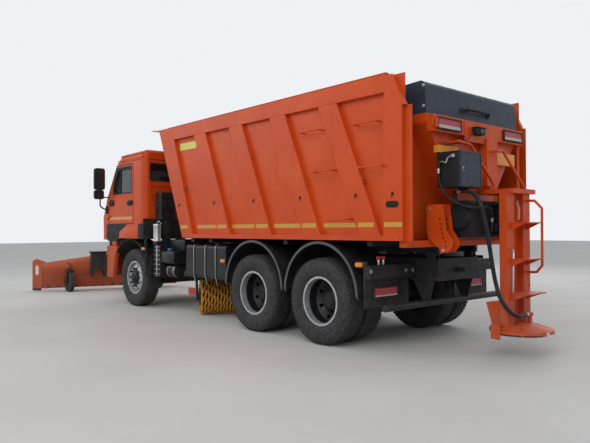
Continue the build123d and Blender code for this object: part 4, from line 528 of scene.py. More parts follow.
# Short name: slot and recipe. A CAD node that stays gets the first finish of its slot.
KINDS: dict[str, tuple[str, Kind]] = {
    "orange": ("orange_paint", Paint("orange_paint", (0.58, 0.062, 0.006), (0.63, 0.080, 0.010), dust_top=1.25,
                                     dust_share=0.4, rough=0.36)),
    "plough_orange": ("orange_paint", Paint("plough_orange", (0.50, 0.075, 0.016), (0.55, 0.10, 0.028), dust_top=1.6,
                                            dust_share=0.4, chip_share=0.9, rough=0.5)),
    "dark": ("dark_steel", Paint("dark_steel", (0.010, 0.011, 0.013), (0.018, 0.018, 0.020), dust_share=0.2,
                                 chips=(0.10, 0.06, 0.04), chip_share=0.7, rough=0.5)),
    "grey": ("grey_paint", Paint("grey_paint", (0.020, 0.030, 0.052), (0.028, 0.039, 0.064), dust_top=3.6,
                                 dust_share=0.10, chips=(0.16, 0.17, 0.19), chip_share=0.8, rough=0.42)),
    "plastic": ("black_plastic", Moulding("black_plastic", (0.010, 0.010, 0.012), (0.075, 0.07, 0.065), dusty=0.3)),
    "rubber": ("black_plastic", Moulding("black_rubber", (0.014, 0.014, 0.015), (0.10, 0.09, 0.08), 120.0, 0.7, 0.4,
                                         0.0012)),
    "trim": ("black_plastic", Moulding("grey_edging", (0.085, 0.088, 0.095), (0.17, 0.165, 0.16), 200.0, 0.5, 0.3)),
    "interior": ("interior", Moulding("seat_cloth", (0.06, 0.065, 0.075), (0.13, 0.13, 0.13), 500.0, 0.85, 0.0)),
    "bristle": ("bristle", Moulding("amber_bristle", (0.62, 0.27, 0.025), (0.42, 0.24, 0.08), 260.0, 0.5, 0.2)),
    "tank": ("black_tank", Paint("black_tank", (0.007, 0.008, 0.011), (0.012, 0.013, 0.016), dust_share=0.14,
                                 rough=0.33)),
    "iron": ("cast_iron", Paint("cast_iron", (0.10, 0.10, 0.10), (0.14, 0.13, 0.12), dust_share=0.5, rough=0.65,
                                metal=0.2)),
    "hose": ("hose", Moulding("hose_rubber", (0.013, 0.013, 0.014), (0.085, 0.08, 0.075), 260.0, 0.5, 0.3, 0.0006)),
    "tyre": ("tyre", Tyre("tyre_rubber")),
    "rim_front": ("silver_rim", Rim("silver_rim_front", AXLES["front"], 0.145, 0.165)),
    "rim_mid": ("silver_rim", Rim("silver_rim_middle", AXLES["mid"], 0.20, 0.235, 1.125)),
    "rim_rear": ("silver_rim", Rim("silver_rim_rear", AXLES["rear"], 0.20, 0.235, 1.125)),
    "steel": ("steel", BareMetal("bare_steel", (0.58, 0.58, 0.58), (0.26, 0.22, 0.18), 0.34, 0.5)),
    "zinc": ("steel", BareMetal("zinc_plate", (0.42, 0.43, 0.42), (0.2, 0.19, 0.17), 0.4, 0.6)),
    "glass": ("glass", Pane("tinted_glass")),
    "lamp": ("lamp", Lens("rear_lens", ((0.648, PALE_LENS), (3.0, PINK_LENS)), CLEAR_LENS)),
    "high_lamp": ("lamp", Lens("high_rear_lens", ((2.35, (1.0, 0.36, 0.002)), (2.512, PALE_LENS), (3.5, PINK_LENS)))),
    "red": ("lamp", Lens("red_lens", ((3.0, (0.42, 0.02, 0.02)),))),
    "amber": ("lamp", Lens("amber_lens", ((3.0, (0.90, 0.28, 0.006)),))),
    "mirror": ("black_plastic", BareMetal("mirror_glass", (0.07, 0.075, 0.08), (0.04, 0.04, 0.04), 0.2, 0.2)),
    "tape": ("lamp", Tape("ochre_tape", (0.60, 0.31, 0.025))),
    "lime": ("lamp", Tape("lime_plate", (0.62, 0.60, 0.07))),
    "white": ("lamp", Tape("white_tape", (0.62, 0.60, 0.56))),
    "red_tape": ("lamp", Tape("red_tape", (0.50, 0.05, 0.04))),
    "sky": ("black_plastic", Paint("blue_sleeve", (0.05, 0.14, 0.42), (0.07, 0.18, 0.5), rough=0.45)),
}
FINISH = {key: kind.build() for key, (_, kind) in KINDS.items()}


# Mesh making
def add_object(name: str, data: bpy.types.ID) -> Item:
    """Puts new data into the scene.

    Args:
        name: Object's name.
        data: Mesh, curve, camera or lamp.

    Returns:
        The new object.
    """
    item = bpy.data.objects.new(name, data)
    bpy.context.collection.objects.link(item)
    return item


def make_plain(piece: Item) -> None:
    """Turns a piece's modifiers into plain mesh.

    Args:
        piece: Object with its modifiers.
    """
    graph = bpy.context.evaluated_depsgraph_get()
    mesh = bpy.data.meshes.new_from_object(piece.evaluated_get(graph), depsgraph=graph)
    piece.modifiers.clear()
    piece.data = mesh


def hand_over(piece: Item, finish: str, body: str, replaces: tuple[str, ...] = ()) -> Item:
    """Gives a mesh its material, smooth shading and body.

    Args:
        piece: Finished mesh object.
        finish: Short name of its material.
        body: CAD body that it rides on.
        replaces: CAD nodes that it stands for.

    Returns:
        The same object.
    """
    mesh = piece.data
    mesh.materials.clear()
    mesh.materials.append(FINISH[finish])
    for polygon in mesh.polygons:
        polygon.use_smooth = True
        polygon.material_index = 0
    mesh.set_sharp_from_angle(angle=SHARP_ANGLE)
    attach(piece, body)
    if replaces:
        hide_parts(*replaces)
    log.info("%s on %s: %d faces", piece.name, body, len(mesh.polygons))
    return piece


def inset(outline: Outline, depth: float) -> Outline:
    """Moves a closed outline inward.

    Args:
        outline: Its corners.
        depth: Distance to move its sides by.

    Returns:
        The moved corners.
    """
    area = sum(a[0] * b[1] - b[0] * a[1] for a, b in zip(outline, outline[1:] + outline[:1]))
    sign = 1.0 if area > 0 else -1.0
    moved = []
    for before, corner, after in zip(outline[-1:] + outline[:-1], outline, outline[1:] + outline[:1]):
        a = Vector((corner[0] - before[0], corner[1] - before[1])).normalized()
        b = Vector((after[0] - corner[0], after[1] - corner[1])).normalized()
        left = Vector((-a.y - b.y, a.x + b.x)) * sign
        moved.append(tuple(Vector(corner) + left * depth / max(1 + a.dot(b), SHARPEST)))
    return moved


def rounded(x0: float, x1: float, z0: float, z1: float, radius: float) -> Outline:
    """Rectangle with round corners.

    Args:
        x0: Low limit along the outline's first value.
        x1: High limit along it.
        z0: Low limit along the second value.
        z1: High limit along it.
        radius: Corners' radius.

    Returns:
        Its outline.
    """
    rows = []
    for cx, cz, turn in ((x1 - radius, z1 - radius, 0), (x0 + radius, z1 - radius, 1),
                         (x0 + radius, z0 + radius, 2), (x1 - radius, z0 + radius, 3)):
        for i in range(CORNER_STEPS + 1):
            a = (turn + i / CORNER_STEPS) * pi / 2
            rows.append((cx + radius * cos(a), cz + radius * sin(a)))
    return rows


def arc_band(x: float, z: float, inner: float, outer: float, low: float, high: float, steps: int = 20) -> Outline:
    """Outline of a band bent round a point, between two angles in degrees."""
    turns = [radians(low + (high - low) * i / steps) for i in range(steps + 1)]
    return ([(x + outer * cos(a), z + outer * sin(a)) for a in turns]
            + [(x + inner * cos(a), z + inner * sin(a)) for a in turns[::-1]])


def dome_patch(low: float, high: float) -> tuple[Outline, Axis, float, float]:
    """Short mark on the edge of the spinner's cover, between two angles in degrees."""
    return arc_band(SPINNER_X, 0, 331, 338.6, low, high, 4), Z, 262, 300


def circle_of(count: int, radius: float, centre: Point, axis: Axis, phase: float = 0.0) -> tuple[Point, ...]:
    """Places spaced evenly on a circle square to an axis."""
    turns = [2 * pi * (i + phase) / count for i in range(count)]
    return tuple(tuple(Vector(centre) + axis.put(radius * cos(a), radius * sin(a), 0)) for a in turns)


class Mould:
    """Collects closed shapes, in drawing millimetres, into one piece."""

    def __init__(self) -> None:
        """Starts empty."""
        self.bm = bmesh.new()

    def grid(self, rings: list[list[Vector]], closed: bool, capped: bool) -> None:
        """Skin over rows of points.

        Args:
            rings: Rows with the same number of points, each a closed loop.
            closed: Whether the last row joins the first.
            capped: Whether the two end rows get a flat face.
        """
        rows = [[self.bm.verts.new(DATUM.at(*p)) for p in ring] for ring in rings]
        count = len(rows[0])
        for i in range(len(rows) if closed else len(rows) - 1):
            a, b = rows[i], rows[(i + 1) % len(rows)]
            for j in range(count):
                k = (j + 1) % count
                self.bm.faces.new((a[j], a[k], b[k], b[j]))
        if capped:
            self.bm.faces.new(rows[0][::-1])
            self.bm.faces.new(rows[-1])

    def prism(self, outline: Outline, axis: Axis, low: float, high: float) -> None:
        """Outline made thick along an axis, between two places."""
        self.grid([[axis.put(u, v, w) for u, v in outline] for w in (low, high)], False, True)

    def block(self, x0: float, x1: float, y0: float, y1: float, z0: float, z1: float) -> None:
        """Box between two corners."""
        self.prism([(x0, y0), (x1, y0), (x1, y1), (x0, y1)], Z, z0, z1)

    def frame(self, outline: Outline, width: float | Outline, axis: Axis, low: float, high: float) -> None:
        """Flat ring inside an outline.

        Args:
            outline: Outer corners.
            width: Ring's width, or its inner corners.
            axis: Direction of its thickness.
            low: First limit along the axis.
            high: Second limit along the axis.
        """
        inner = width if isinstance(width, list) else inset(outline, width)
        loops = ((outline, low), (outline, high), (inner, high), (inner, low))
        self.grid([[axis.put(u, v, w) for u, v in loop] for loop, w in loops], True, False)

    def lathe(self, profile: Outline, centre: Point, way: Point, sides: int = 32, closed: bool = True) -> None:
        """Body of revolution.

        Args:
            profile: Rows of (radius, distance along the axis).
            centre: Axis' zero place.
            way: Axis' direction.
            sides: Points round the axis.
            closed: Whether the profile's last point joins its first.
        """
        turn = Vector(way).normalized().to_track_quat("Z", "Y")
        turns = [2 * pi * i / sides for i in range(sides)]
        self.grid([[Vector(centre) + turn @ Vector((r * cos(a), r * sin(a), h)) for a in turns] for r, h in profile],
                  closed, not closed)

    def ring(self, centre: Point, way: Point, radius: float, wire: float, sides: int = 18) -> None:
        """Round ring of wire."""
        self.lathe([(radius + wire * cos(k * pi / 4), wire * sin(k * pi / 4)) for k in range(8)], centre, way, sides)

    def rod(self, start: Point, end: Point, radius: float) -> None:
        """Round bar."""
        way = Vector(end) - Vector(start)
        self.lathe([(radius, 0), (radius, way.length)], start, tuple(way), 12, False)

    def tube(self, points: list[Point], radius: float, bend: float = 40.0, sides: int = 10) -> None:
        """Bar bent through points.

        Args:
            points: Its ends and its corners.
            radius: Bar's radius.
            bend: Most length that a corner takes up on each side.
            sides: Points round the bar.
        """
        line = [Vector(points[0])]
        for before, corner, after in zip(points, points[1:], points[2:]):
            c = Vector(corner)
            into, out = Vector(before) - c, Vector(after) - c
            reach = min(bend, into.length * 0.45, out.length * 0.45)
            start, end = c + into.normalized() * reach, c + out.normalized() * reach
            line += [start * (1 - t) ** 2 + c * 2 * t * (1 - t) + end * t ** 2 for t in (0, 0.25, 0.5, 0.75, 1)]
        line.append(Vector(points[-1]))
        rings = []
        side = (line[1] - line[0]).orthogonal().normalized()
        for i, p in enumerate(line):
            ahead = (line[min(i + 1, len(line) - 1)] - line[max(i - 1, 0)]).normalized()
            side = (side - ahead * side.dot(ahead)).normalized()
            across = ahead.cross(side)
            turns = [2 * pi * k / sides for k in range(sides)]
            rings.append([p + (side * cos(a) + across * sin(a)) * radius for a in turns])
        self.grid(rings, False, True)

    def flip(self, keep: bool = False) -> None:
        """Moves the shapes to the truck's other side.

        Args:
            keep: Whether the first side keeps its own.
        """
        verts = self.bm.verts[:]
        if keep:
            copy = bmesh.ops.duplicate(self.bm, geom=verts + self.bm.edges[:] + self.bm.faces[:])["geom"]
            verts = [item for item in copy if isinstance(item, bmesh.types.BMVert)]
        for vert in verts:
            vert.co.y = 2 * DATUM.shift.y - vert.co.y

    def finish(self, name: str, finish: str, body: str, bevel: float, replaces: tuple[str, ...] = ()) -> Item:
        """Closes the piece, rounds its edges and hands it to the frame.

        Args:
            name: Piece's name.
            finish: Short name of its material.
            body: CAD body that it rides on.
            bevel: Width of the rounded edges in metres, or 0.
            replaces: CAD nodes that it stands for.

        Returns:
            The finished object.
        """
        bmesh.ops.remove_doubles(self.bm, verts=self.bm.verts, dist=1e-6)
        bmesh.ops.recalc_face_normals(self.bm, faces=self.bm.faces)
        mesh = bpy.data.meshes.new(name)
        self.bm.to_mesh(mesh)
        self.bm.free()
        piece = add_object(name, mesh)
        if bevel > 0:
            edges = piece.modifiers.new("Edges", "BEVEL")
            edges.width, edges.segments, edges.limit_method, edges.angle_limit = bevel, 2, "ANGLE", BEVEL_ANGLE
            make_plain(piece)
        return hand_over(piece, finish, body, replaces)


# Repeats
class Repeater(Graph):
    """Geometry Nodes tree that sets one small shape on each point of a mesh, along the point's facing."""

    name = "repeat"
    sizes: dict[str, float | int] = {}
    pivot = "AUTO"

    def __init__(self) -> None:
        """Builds the tree from its sizes and its shape."""
        super().__init__(bpy.data.node_groups.new(self.name, "GeometryNodeTree"))
        face = self.tree.interface
        for way in ("INPUT", "OUTPUT"):
            face.new_socket("Geometry", in_out=way, socket_type="NodeSocketGeometry")
        for name, value in self.sizes.items():
            kind = "NodeSocketInt" if isinstance(value, int) else "NodeSocketFloat"
            face.new_socket(name, in_out="INPUT", socket_type=kind).default_value = value
        face.new_socket("Finish", in_out="INPUT", socket_type="NodeSocketMaterial")
        self.given = self.add("NodeGroupInput").outputs
        facing = self.first("GeometryNodeInputNamedAttribute", {"Name": "facing"}, data_type="FLOAT_VECTOR")
        turn = self.first("FunctionNodeAlignEulerToVector", {"Vector": self.lean(facing)}, axis="Z",
                          pivot_axis=self.pivot)
        put = self.first("GeometryNodeInstanceOnPoints", {"Points": self.given[0], "Instance": self.shape(),
                                                          "Rotation": turn})
        real = self.first("GeometryNodeRealizeInstances", {0: put})
        self.add("NodeGroupOutput", {0: self.first("GeometryNodeSetMaterial", {"Geometry": real,
                                                                               "Material": self.given["Finish"]})})

    def lean(self, facing: Socket) -> Socket:
        """Direction of each shape."""
        return facing

    def shape(self) -> Socket:
        """Geometry that is repeated."""
        raise NotImplementedError

    def scale(self, size: Socket, share: float) -> Socket:
        """Share of a size."""
        return self.first("ShaderNodeMath", {0: size, 1: share}, operation="MULTIPLY")

    def strew(self, name: str, rows: Rows, finish: str, body: str, **values: float | int) -> Item:
        """Makes a piece from the tree.

        Args:
            name: Piece's name.
            rows: Drawing place and direction of each shape.
            finish: Short name of the material.
            body: CAD body that they ride on.
            values: The tree's sizes; underscores in names stand for spaces.

        Returns:
            The finished object.
        """
        mesh = bpy.data.meshes.new(name)
        mesh.from_pydata([DATUM.at(*place) for place, _ in rows], [], [])
        for item, (_, way) in zip(mesh.attributes.new("facing", "FLOAT_VECTOR", "POINT").data, rows):
            item.vector = Vector(way).normalized()
        piece = add_object(name, mesh)
        modifier = piece.modifiers.new("Repeat", "NODES")
        modifier.node_group = self.tree
        given = {**values, "Finish": FINISH[finish]}
        for item in self.tree.interface.items_tree:
            key = item.name.replace(" ", "_")
            if item.item_type == "SOCKET" and item.in_out == "INPUT" and key in given:
                modifier[item.identifier] = given[key]
        make_plain(piece)
        return hand_over(piece, finish, body)


class BoltTree(Repeater):
    """Heads with a washer."""

    name = "bolt_heads"
    sizes = {"Head radius": 0.012, "Head height": 0.010, "Sides": 6}

    def shape(self) -> Socket:
        """Head and washer.

        Returns:
            Both as one geometry.
        """
        size, tall = self.given["Head radius"], self.given["Head height"]
        head = self.first("GeometryNodeMeshCylinder", {"Vertices": self.given["Sides"], "Radius": size, "Depth": tall})
        washer = self.first("GeometryNodeMeshCylinder", {"Vertices": 14, "Radius": self.scale(size, 1.5),
                                                         "Depth": self.scale(tall, 0.3)})
        up = self.first("ShaderNodeCombineXYZ", {"Z": self.scale(tall, 0.5)})
        raised = self.first("GeometryNodeTransform", {"Geometry": head, "Translation": up})
        both = self.add("GeometryNodeJoinGeometry")
        for part in (raised, washer):
            self.link(part, both.inputs[0])
        return both.outputs[0]


class RibTree(Repeater):
    """Round rings of a hose guard."""

    name = "hose_ribs"
    sizes = {"Ring radius": 0.022, "Wire radius": 0.003}

    def shape(self) -> Socket:
        """Ring of wire."""
        ring, wire = (self.first("GeometryNodeCurvePrimitiveCircle", {"Resolution": steps, "Radius": self.given[size]})
                      for steps, size in ((18, "Ring radius"), (6, "Wire radius")))
        return self.first("GeometryNodeCurveToMesh", {"Curve": ring, "Profile Curve": wire})


class TreadTree(Repeater):
    """Blocks of tread round a tyre."""

    name = "tread_blocks"
    sizes = {"Block length": 0.03, "Block width": 0.03, "Block height": 0.01}
    pivot = "Y"

    def shape(self) -> Socket:
        """Block."""
        size = self.first("ShaderNodeCombineXYZ", {i: self.given[name] for i, name in enumerate(self.sizes)})
        return self.first("GeometryNodeMeshCube", {"Size": size})


class BristleTree(Repeater):
    """Thin fibres, each turned a little at random."""

    name = "bristle_fibres"
    sizes = {"Fibre length": 0.17, "Fibre radius": 0.0018, "Scatter": 0.12, "Seed": 4}

    def lean(self, facing: Socket) -> Socket:
        """Facing with a random part added.

        Args:
            facing: Direction before it.

        Returns:
            Direction of each fibre.
        """
        spread = self.given["Scatter"]
        back = self.scale(spread, -1.0)
        low, high = (self.first("ShaderNodeCombineXYZ", {i: part for i in range(3)}) for part in (back, spread))
        shake = self.first("FunctionNodeRandomValue", {0: low, 1: high, "Seed": self.given["Seed"]},
                           data_type="FLOAT_VECTOR")
        return self.first("ShaderNodeVectorMath", {0: facing, 1: shake}, operation="ADD")

    def shape(self) -> Socket:
        """Fibre that starts at its point."""
        thick = self.given["Fibre radius"]
        return self.first("GeometryNodeMeshCone", {"Vertices": 3, "Radius Top": thick, "Radius Bottom": thick,
                                                   "Depth": self.given["Fibre length"]}, fill_type="NONE")


BOLTS, TREAD = BoltTree(), TreadTree()


@dataclass(frozen=True)
class Stage:
    """Camera at the photograph's place, soft light and a pale floor.

    Args:
        eye: Camera's place in the datum frame, in metres.
        right: Picture's right in the datum frame.
        up: Picture's up.
        ahead: View direction.
        focal: Focal length in pixels.
        width: Picture's width in pixels.
    """

    eye: Point = (-10.264, 6.228, 1.400)
    right: Point = (-0.66100, -0.75037, -0.00440)
    up: Point = (-0.01249, 0.00514, 0.99991)
    ahead: Point = (0.75028, -0.66100, 0.01277)
    focal: float = 599.43
    width: float = 590.0

    def camera(self) -> None:
        """Makes the camera."""
        data = bpy.data.cameras.new("camera")
        data.sensor_width = 36.0
        data.lens = self.focal * data.sensor_width / self.width
        data.clip_end = 200.0
        camera = add_object("camera", data)
        columns = [Vector(self.right), Vector(self.up), -Vector(self.ahead)]
        turn = Matrix([[c[i] for c in columns] for i in range(3)]).to_4x4()
        camera.matrix_world = Matrix.Translation(Vector(self.eye) + DATUM.shift) @ turn
        bpy.context.scene.camera = camera

    def light(self) -> None:
        """Makes a pale sky, which lights less than it shows, and three large soft lamps."""
        world = bpy.data.worlds.new("sky")
        bpy.context.scene.world = world
        world.use_nodes = True
        sky = Graph(world.node_tree)
        seen = sky.first("ShaderNodeBackground", {0: (0.86, 0.88, 0.90, 1.0), 1: 1.0})
        glow = sky.first("ShaderNodeBackground", {0: (0.93, 0.96, 1.0, 1.0), 1: 0.55})
        path = sky.add("ShaderNodeLightPath").outputs
        share = path["Is Camera Ray"]
        for ray in ("Is Glossy Ray", "Is Transmission Ray"):
            share = sky.first("ShaderNodeMath", {0: share, 1: path[ray]}, operation="MAXIMUM")
        sky.add("ShaderNodeOutputWorld", {0: sky.first("ShaderNodeMixShader", {0: share, 1: glow, 2: seen})})
        target = Vector((0, 0, 1.2))
        for name, place, power in (("key", (-9.0, 11.0, 9.0), 620.0), ("fill", (9.0, 9.0, 8.0), 300.0),
                                   ("back", (0.0, -12.0, 9.0), 300.0)):
            lamp = bpy.data.lights.new(name, "AREA")
            lamp.size, lamp.energy = 8.0, power
            turn = (target - Vector(place)).to_track_quat("-Z", "Y").to_matrix().to_4x4()
            add_object(name, lamp).matrix_world = Matrix.Translation(Vector(place)) @ turn
        bpy.context.scene.view_settings.view_transform = "Standard"

    def floor(self) -> None:
        """Makes the floor of pale concrete."""
        mesh = bpy.data.meshes.new("floor")
        reach = 60.0
        corners = [(u * reach, v * reach, 0) for u, v in ((-1, -1), (1, -1), (1, 1), (-1, 1))]
        mesh.from_pydata(corners, [], [range(4)])
        s = Sheet("pale_floor", Roughness=0.85)
        s.bump(s.noise(40.0, 4.0), 0.1, 0.002)
        colour = s.mix(s.ramp(s.noise(0.6, 5.0), 0.3, 0.7), (0.62, 0.61, 0.59), (0.68, 0.67, 0.65))
        mesh.materials.append(s.close(colour))
        add_object("floor", mesh)


@dataclass(frozen=True)
class Hose:
    """Hydraulic hose as one smooth line, with crimped fittings and a ribbed guard.

    Args:
        name: Piece's name.
        node: CAD node that it stands for.
        route: Points that steer its line, in metres in the datum frame.
        diameter: Outer diameter in metres.
        length: Real length in metres; not used.
        guard: Share of the length that the ribbed guard covers, from the start.
    """

    name: str
    node: str
    route: tuple[Point, ...]
    diameter: float
    length: float
    guard: float = 0.0

    def line(self) -> Item:
        """Makes the hose's curve.

        Returns:
            The curve's object.
        """
        curve = bpy.data.curves.new(self.name, "CURVE")
        curve.dimensions = "3D"
        curve.resolution_u = 24
        spline = curve.splines.new("NURBS")
        spline.points.add(len(self.route) - 1)
        for point, place in zip(spline.points, self.route):
            point.co = (*(Vector(place) + DATUM.shift), 1.0)
        spline.order_u = 3
        spline.use_endpoint_u = True
        return add_object(self.name, curve)

    def walk(self, piece: Item) -> Track:
        """Reads the bare line back.

        Args:
            piece: Curve that has no thickness yet.

        Returns:
            Points with their direction and their distance from the start.
        """
        bpy.context.view_layer.update()
        mesh = bpy.data.meshes.new_from_object(piece)
        places = [v.co.copy() for v in mesh.vertices]
        bpy.data.meshes.remove(mesh)
        rows, far = [], 0.0
        for before, place, after in zip(places[:1] + places, places, places[1:] + places[-1:]):
            rows.append((place, (after - before).normalized(), far))
            far += (after - place).length
        return rows

    def collar(self, name: str, place: Vector, way: Vector) -> Item:
        """Makes a crimped metal sleeve.

        Args:
            name: Piece's name.
            place: Hose's end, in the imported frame.
            way: Direction from there along the hose.

        Returns:
            The finished object.
        """
        r = self.diameter * MM / 2
        mould = Mould()
        profile = [(r - 2, 0), (r + 1, 1), (r + 1, 8)]
        for z in (10, 19, 28, 37):
            profile += [(r + 2.5, z), (r + 2.5, z + 5), (r + 0.8, z + 7)]
        mould.lathe(profile + [(r + 0.8, 50), (r - 2, 51)], DATUM.back(place), tuple(way), 24)
        return mould.finish(name, "steel", "bed", 0.0)

    def ribs(self, rows: Track) -> Item:
        """Makes the guard's rings, evenly spaced along the hose's line.

        Args:
            rows: The line as walk gives it.

        Returns:
            The finished object.
        """
        spots: Rows = []
        pitch, far = 0.0085, 0.055
        for (a, way, at), (b, _, then) in zip(rows, rows[1:]):
            while far < then and far < self.guard * rows[-1][2]:
                spots.append((DATUM.back(a.lerp(b, (far - at) / max(then - at, 1e-9))), tuple(way)))
                far += pitch
        return RibTree().strew(self.name + "_guard", spots, "hose", "bed", Ring_radius=self.diameter / 2 - 0.0005,
                               Wire_radius=0.0030)

    def build(self) -> None:
        piece = self.line()
        rows = self.walk(piece)
        curve = piece.data
        curve.bevel_depth, curve.bevel_resolution, curve.use_fill_caps = self.diameter / 2, 5, True
        curve.materials.append(FINISH["hose"])
        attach(piece, "bed")
        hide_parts(self.node)
        mates = [self.collar(self.name + "_fitting_start", rows[0][0], rows[0][1]),
                 self.collar(self.name + "_fitting_end", rows[-1][0], -rows[-1][1])]
        if self.guard > 0:
            mates.append(self.ribs(rows))
        log.info("%s: %.3f m along its line", self.name, rows[-1][2])


HOSES = (
    Hose("main_hose", "hose_main",
         ((-6.545, 0.596, 1.798), (-6.630, 0.602, 1.808), (-6.728, 0.618, 1.794), (-6.812, 0.640, 1.738),
          (-6.866, 0.656, 1.646), (-6.886, 0.630, 1.505), (-6.884, 0.545, 1.285), (-6.874, 0.466, 1.040),
          (-6.886, 0.418, 0.820), (-6.922, 0.388, 0.644), (-6.978, 0.304, 0.512), (-6.998, 0.170, 0.452),
          (-6.985, 0.026, 0.447), (-6.985, -0.0897, 0.447)), 0.044, 2.0025, 0.42),
    Hose("thin_hose", "hose_thin",
         ((-6.470, 0.836, 2.0397), (-6.470, 0.836, 1.938), (-6.498, 0.828, 1.832), (-6.556, 0.802, 1.736),
          (-6.636, 0.752, 1.668), (-6.704, 0.670, 1.630), (-6.746, 0.560, 1.616), (-6.762, 0.450, 1.630),
          (-6.764, 0.352, 1.634), (-6.757, 0.272, 1.600), (-6.742, 0.228, 1.538), (-6.732, 0.215, 1.470)),
         0.030, 1.1091),
)


def dress_frame() -> None:
    """Gives each CAD node that stays its finish."""
    by_slot: dict[str, str] = {}
    for key, (slot, _) in KINDS.items():
        by_slot.setdefault(slot, key)
    # bed_floor and cabinet get dark steel as painted shade: the bed's underside and the cabinet's left side lie in
    # shade
    special = {"plough_blade": "plough_orange", "bed_lamps": "high_lamp", "cabinet": "dark", "bed_floor": "dark"}
    for rims, key in (("rear_rims_1", "rim_mid"), ("rear_rims_2", "rim_rear")):
        special.update({rims + "_" + side.word: key for side in Side})
    for row in frame["record"]["subparts"]:
        key = special.get(row["node"], by_slot[row["material_slot"]])
        for slot in frame["nodes"][row["node"]].material_slots:
            slot.material = FINISH[key]
        log.info("%s dressed in %s", row["node"], key)


@dataclass(frozen=True)
class WheelSet:
    """One wheel body: its tyres with tread, and the nuts on its hub.

    Args:
        body: CAD body's name.
        tyre_node: CAD node that the tyres stand for.
        x: Axle's place.
        side: Side of the truck.
        middles: Distance of each tyre's middle from the truck's.
        nut_y: Distance of the face that the nuts stand on.
        nut_r: Radius of the ring of nuts.
        lugs: Rows of cross blocks: distance from the tyre's middle and share of a pitch.
    """

    body: str
    tyre_node: str
    x: float
    side: Side
    middles: tuple[float, ...]
    nut_y: float
    nut_r: float
    lugs: tuple[tuple[float, float], ...] = ()

    def tyre(self) -> None:
        """Makes the tyres' bodies with their grooves and blocks."""
        r, w, groove, blocks = TYRE_R, 140.0, 14.0, 60
        shoulder, low_block, high_block = 112, 14, 5.5
        wall = [(286, -100), (300, -104), (316, -118), (340, -127), (375, -135), (408, -w), (440, -w + 1),
                (468, -w + 5), (487, -w + 11), (500, -w + 17), (512, -w + 27), (520, -104)]
        profile = wall[:]
        for a, b in ((-78, -70), (-30, -22), (22, 30), (70, 78)):
            profile += [(r - 1.2, a - 1), (r - groove, a + 1), (r - groove, b - 1), (r - 1.2, b + 1)]
        profile += [(u, -v) for u, v in wall[::-1]]
        mould = Mould()
        rows: Rows = []
        for middle in (self.side.value * m for m in self.middles):
            mould.lathe(profile, (self.x, middle, r), (0, 1, 0), 72)
            for i in range(blocks):
                for v, phase in self.lugs + ((-shoulder, 0.25), (shoulder, 0.75)):
                    a = 2 * pi * (i + phase) / blocks
                    deep = r - (low_block if abs(v) == shoulder else high_block)
                    rows.append(((self.x + deep * cos(a), middle + v, r + deep * sin(a)), (cos(a), 0, sin(a))))
        mould.finish("tread_" + self.tyre_node, "tyre", self.body, 0.0, (self.tyre_node,))
        TREAD.strew("lugs_" + self.tyre_node, rows, "tyre", self.body, Block_length=0.026, Block_width=0.030,
                    Block_height=0.010)

    def build(self) -> None:
        """Builds the tyres and the ring of wheel nuts."""
        self.tyre()
        places = circle_of(NUTS, self.nut_r, (self.x, self.side.value * self.nut_y, TYRE_R), Y)
        BOLTS.strew("nuts_" + self.body, [(p, (0, self.side.value, 0)) for p in places], "dark", self.body,
                    Head_radius=0.016, Head_height=0.030)


def build_wheels() -> None:
    """Builds all wheel bodies of the truck."""
    for side in Side:
        word = side.word
        WheelSet("front_wheel_" + word, "front_tyre_" + word, AXLES["front"], side, (1020.0,), 1120.0, 167.0).build()
        for name, axle in (("1_" + word, "mid"), ("2_" + word, "rear")):
            WheelSet("rear_wheels_" + name, "rear_tyres_" + name, AXLES[axle], side, (1095.0, 765.0), 946.0, 165.0,
                     ((-52, 0.0), (0, 0.5), (52, 0.0))).build()


@dataclass(frozen=True)
class Slanted:
    """Frame of a tool that stands aslant across the truck.

    Args:
        middle: Its middle.
        skew: Turn from straight across, in degrees.
    """

    middle: Point
    skew: float

    def axes(self) -> tuple[Vector, Vector]:
        """Directions along the tool, to the left, and in front of it."""
        a = radians(self.skew)
        return Vector((sin(a), cos(a), 0)), Vector((cos(a), -sin(a), 0))

    def at(self, along: float, front: float, up: float) -> Vector:
        """Point by the tool."""
        way, ahead = self.axes()
        return Vector(self.middle) + way * along + ahead * front + Vector((0, 0, up))


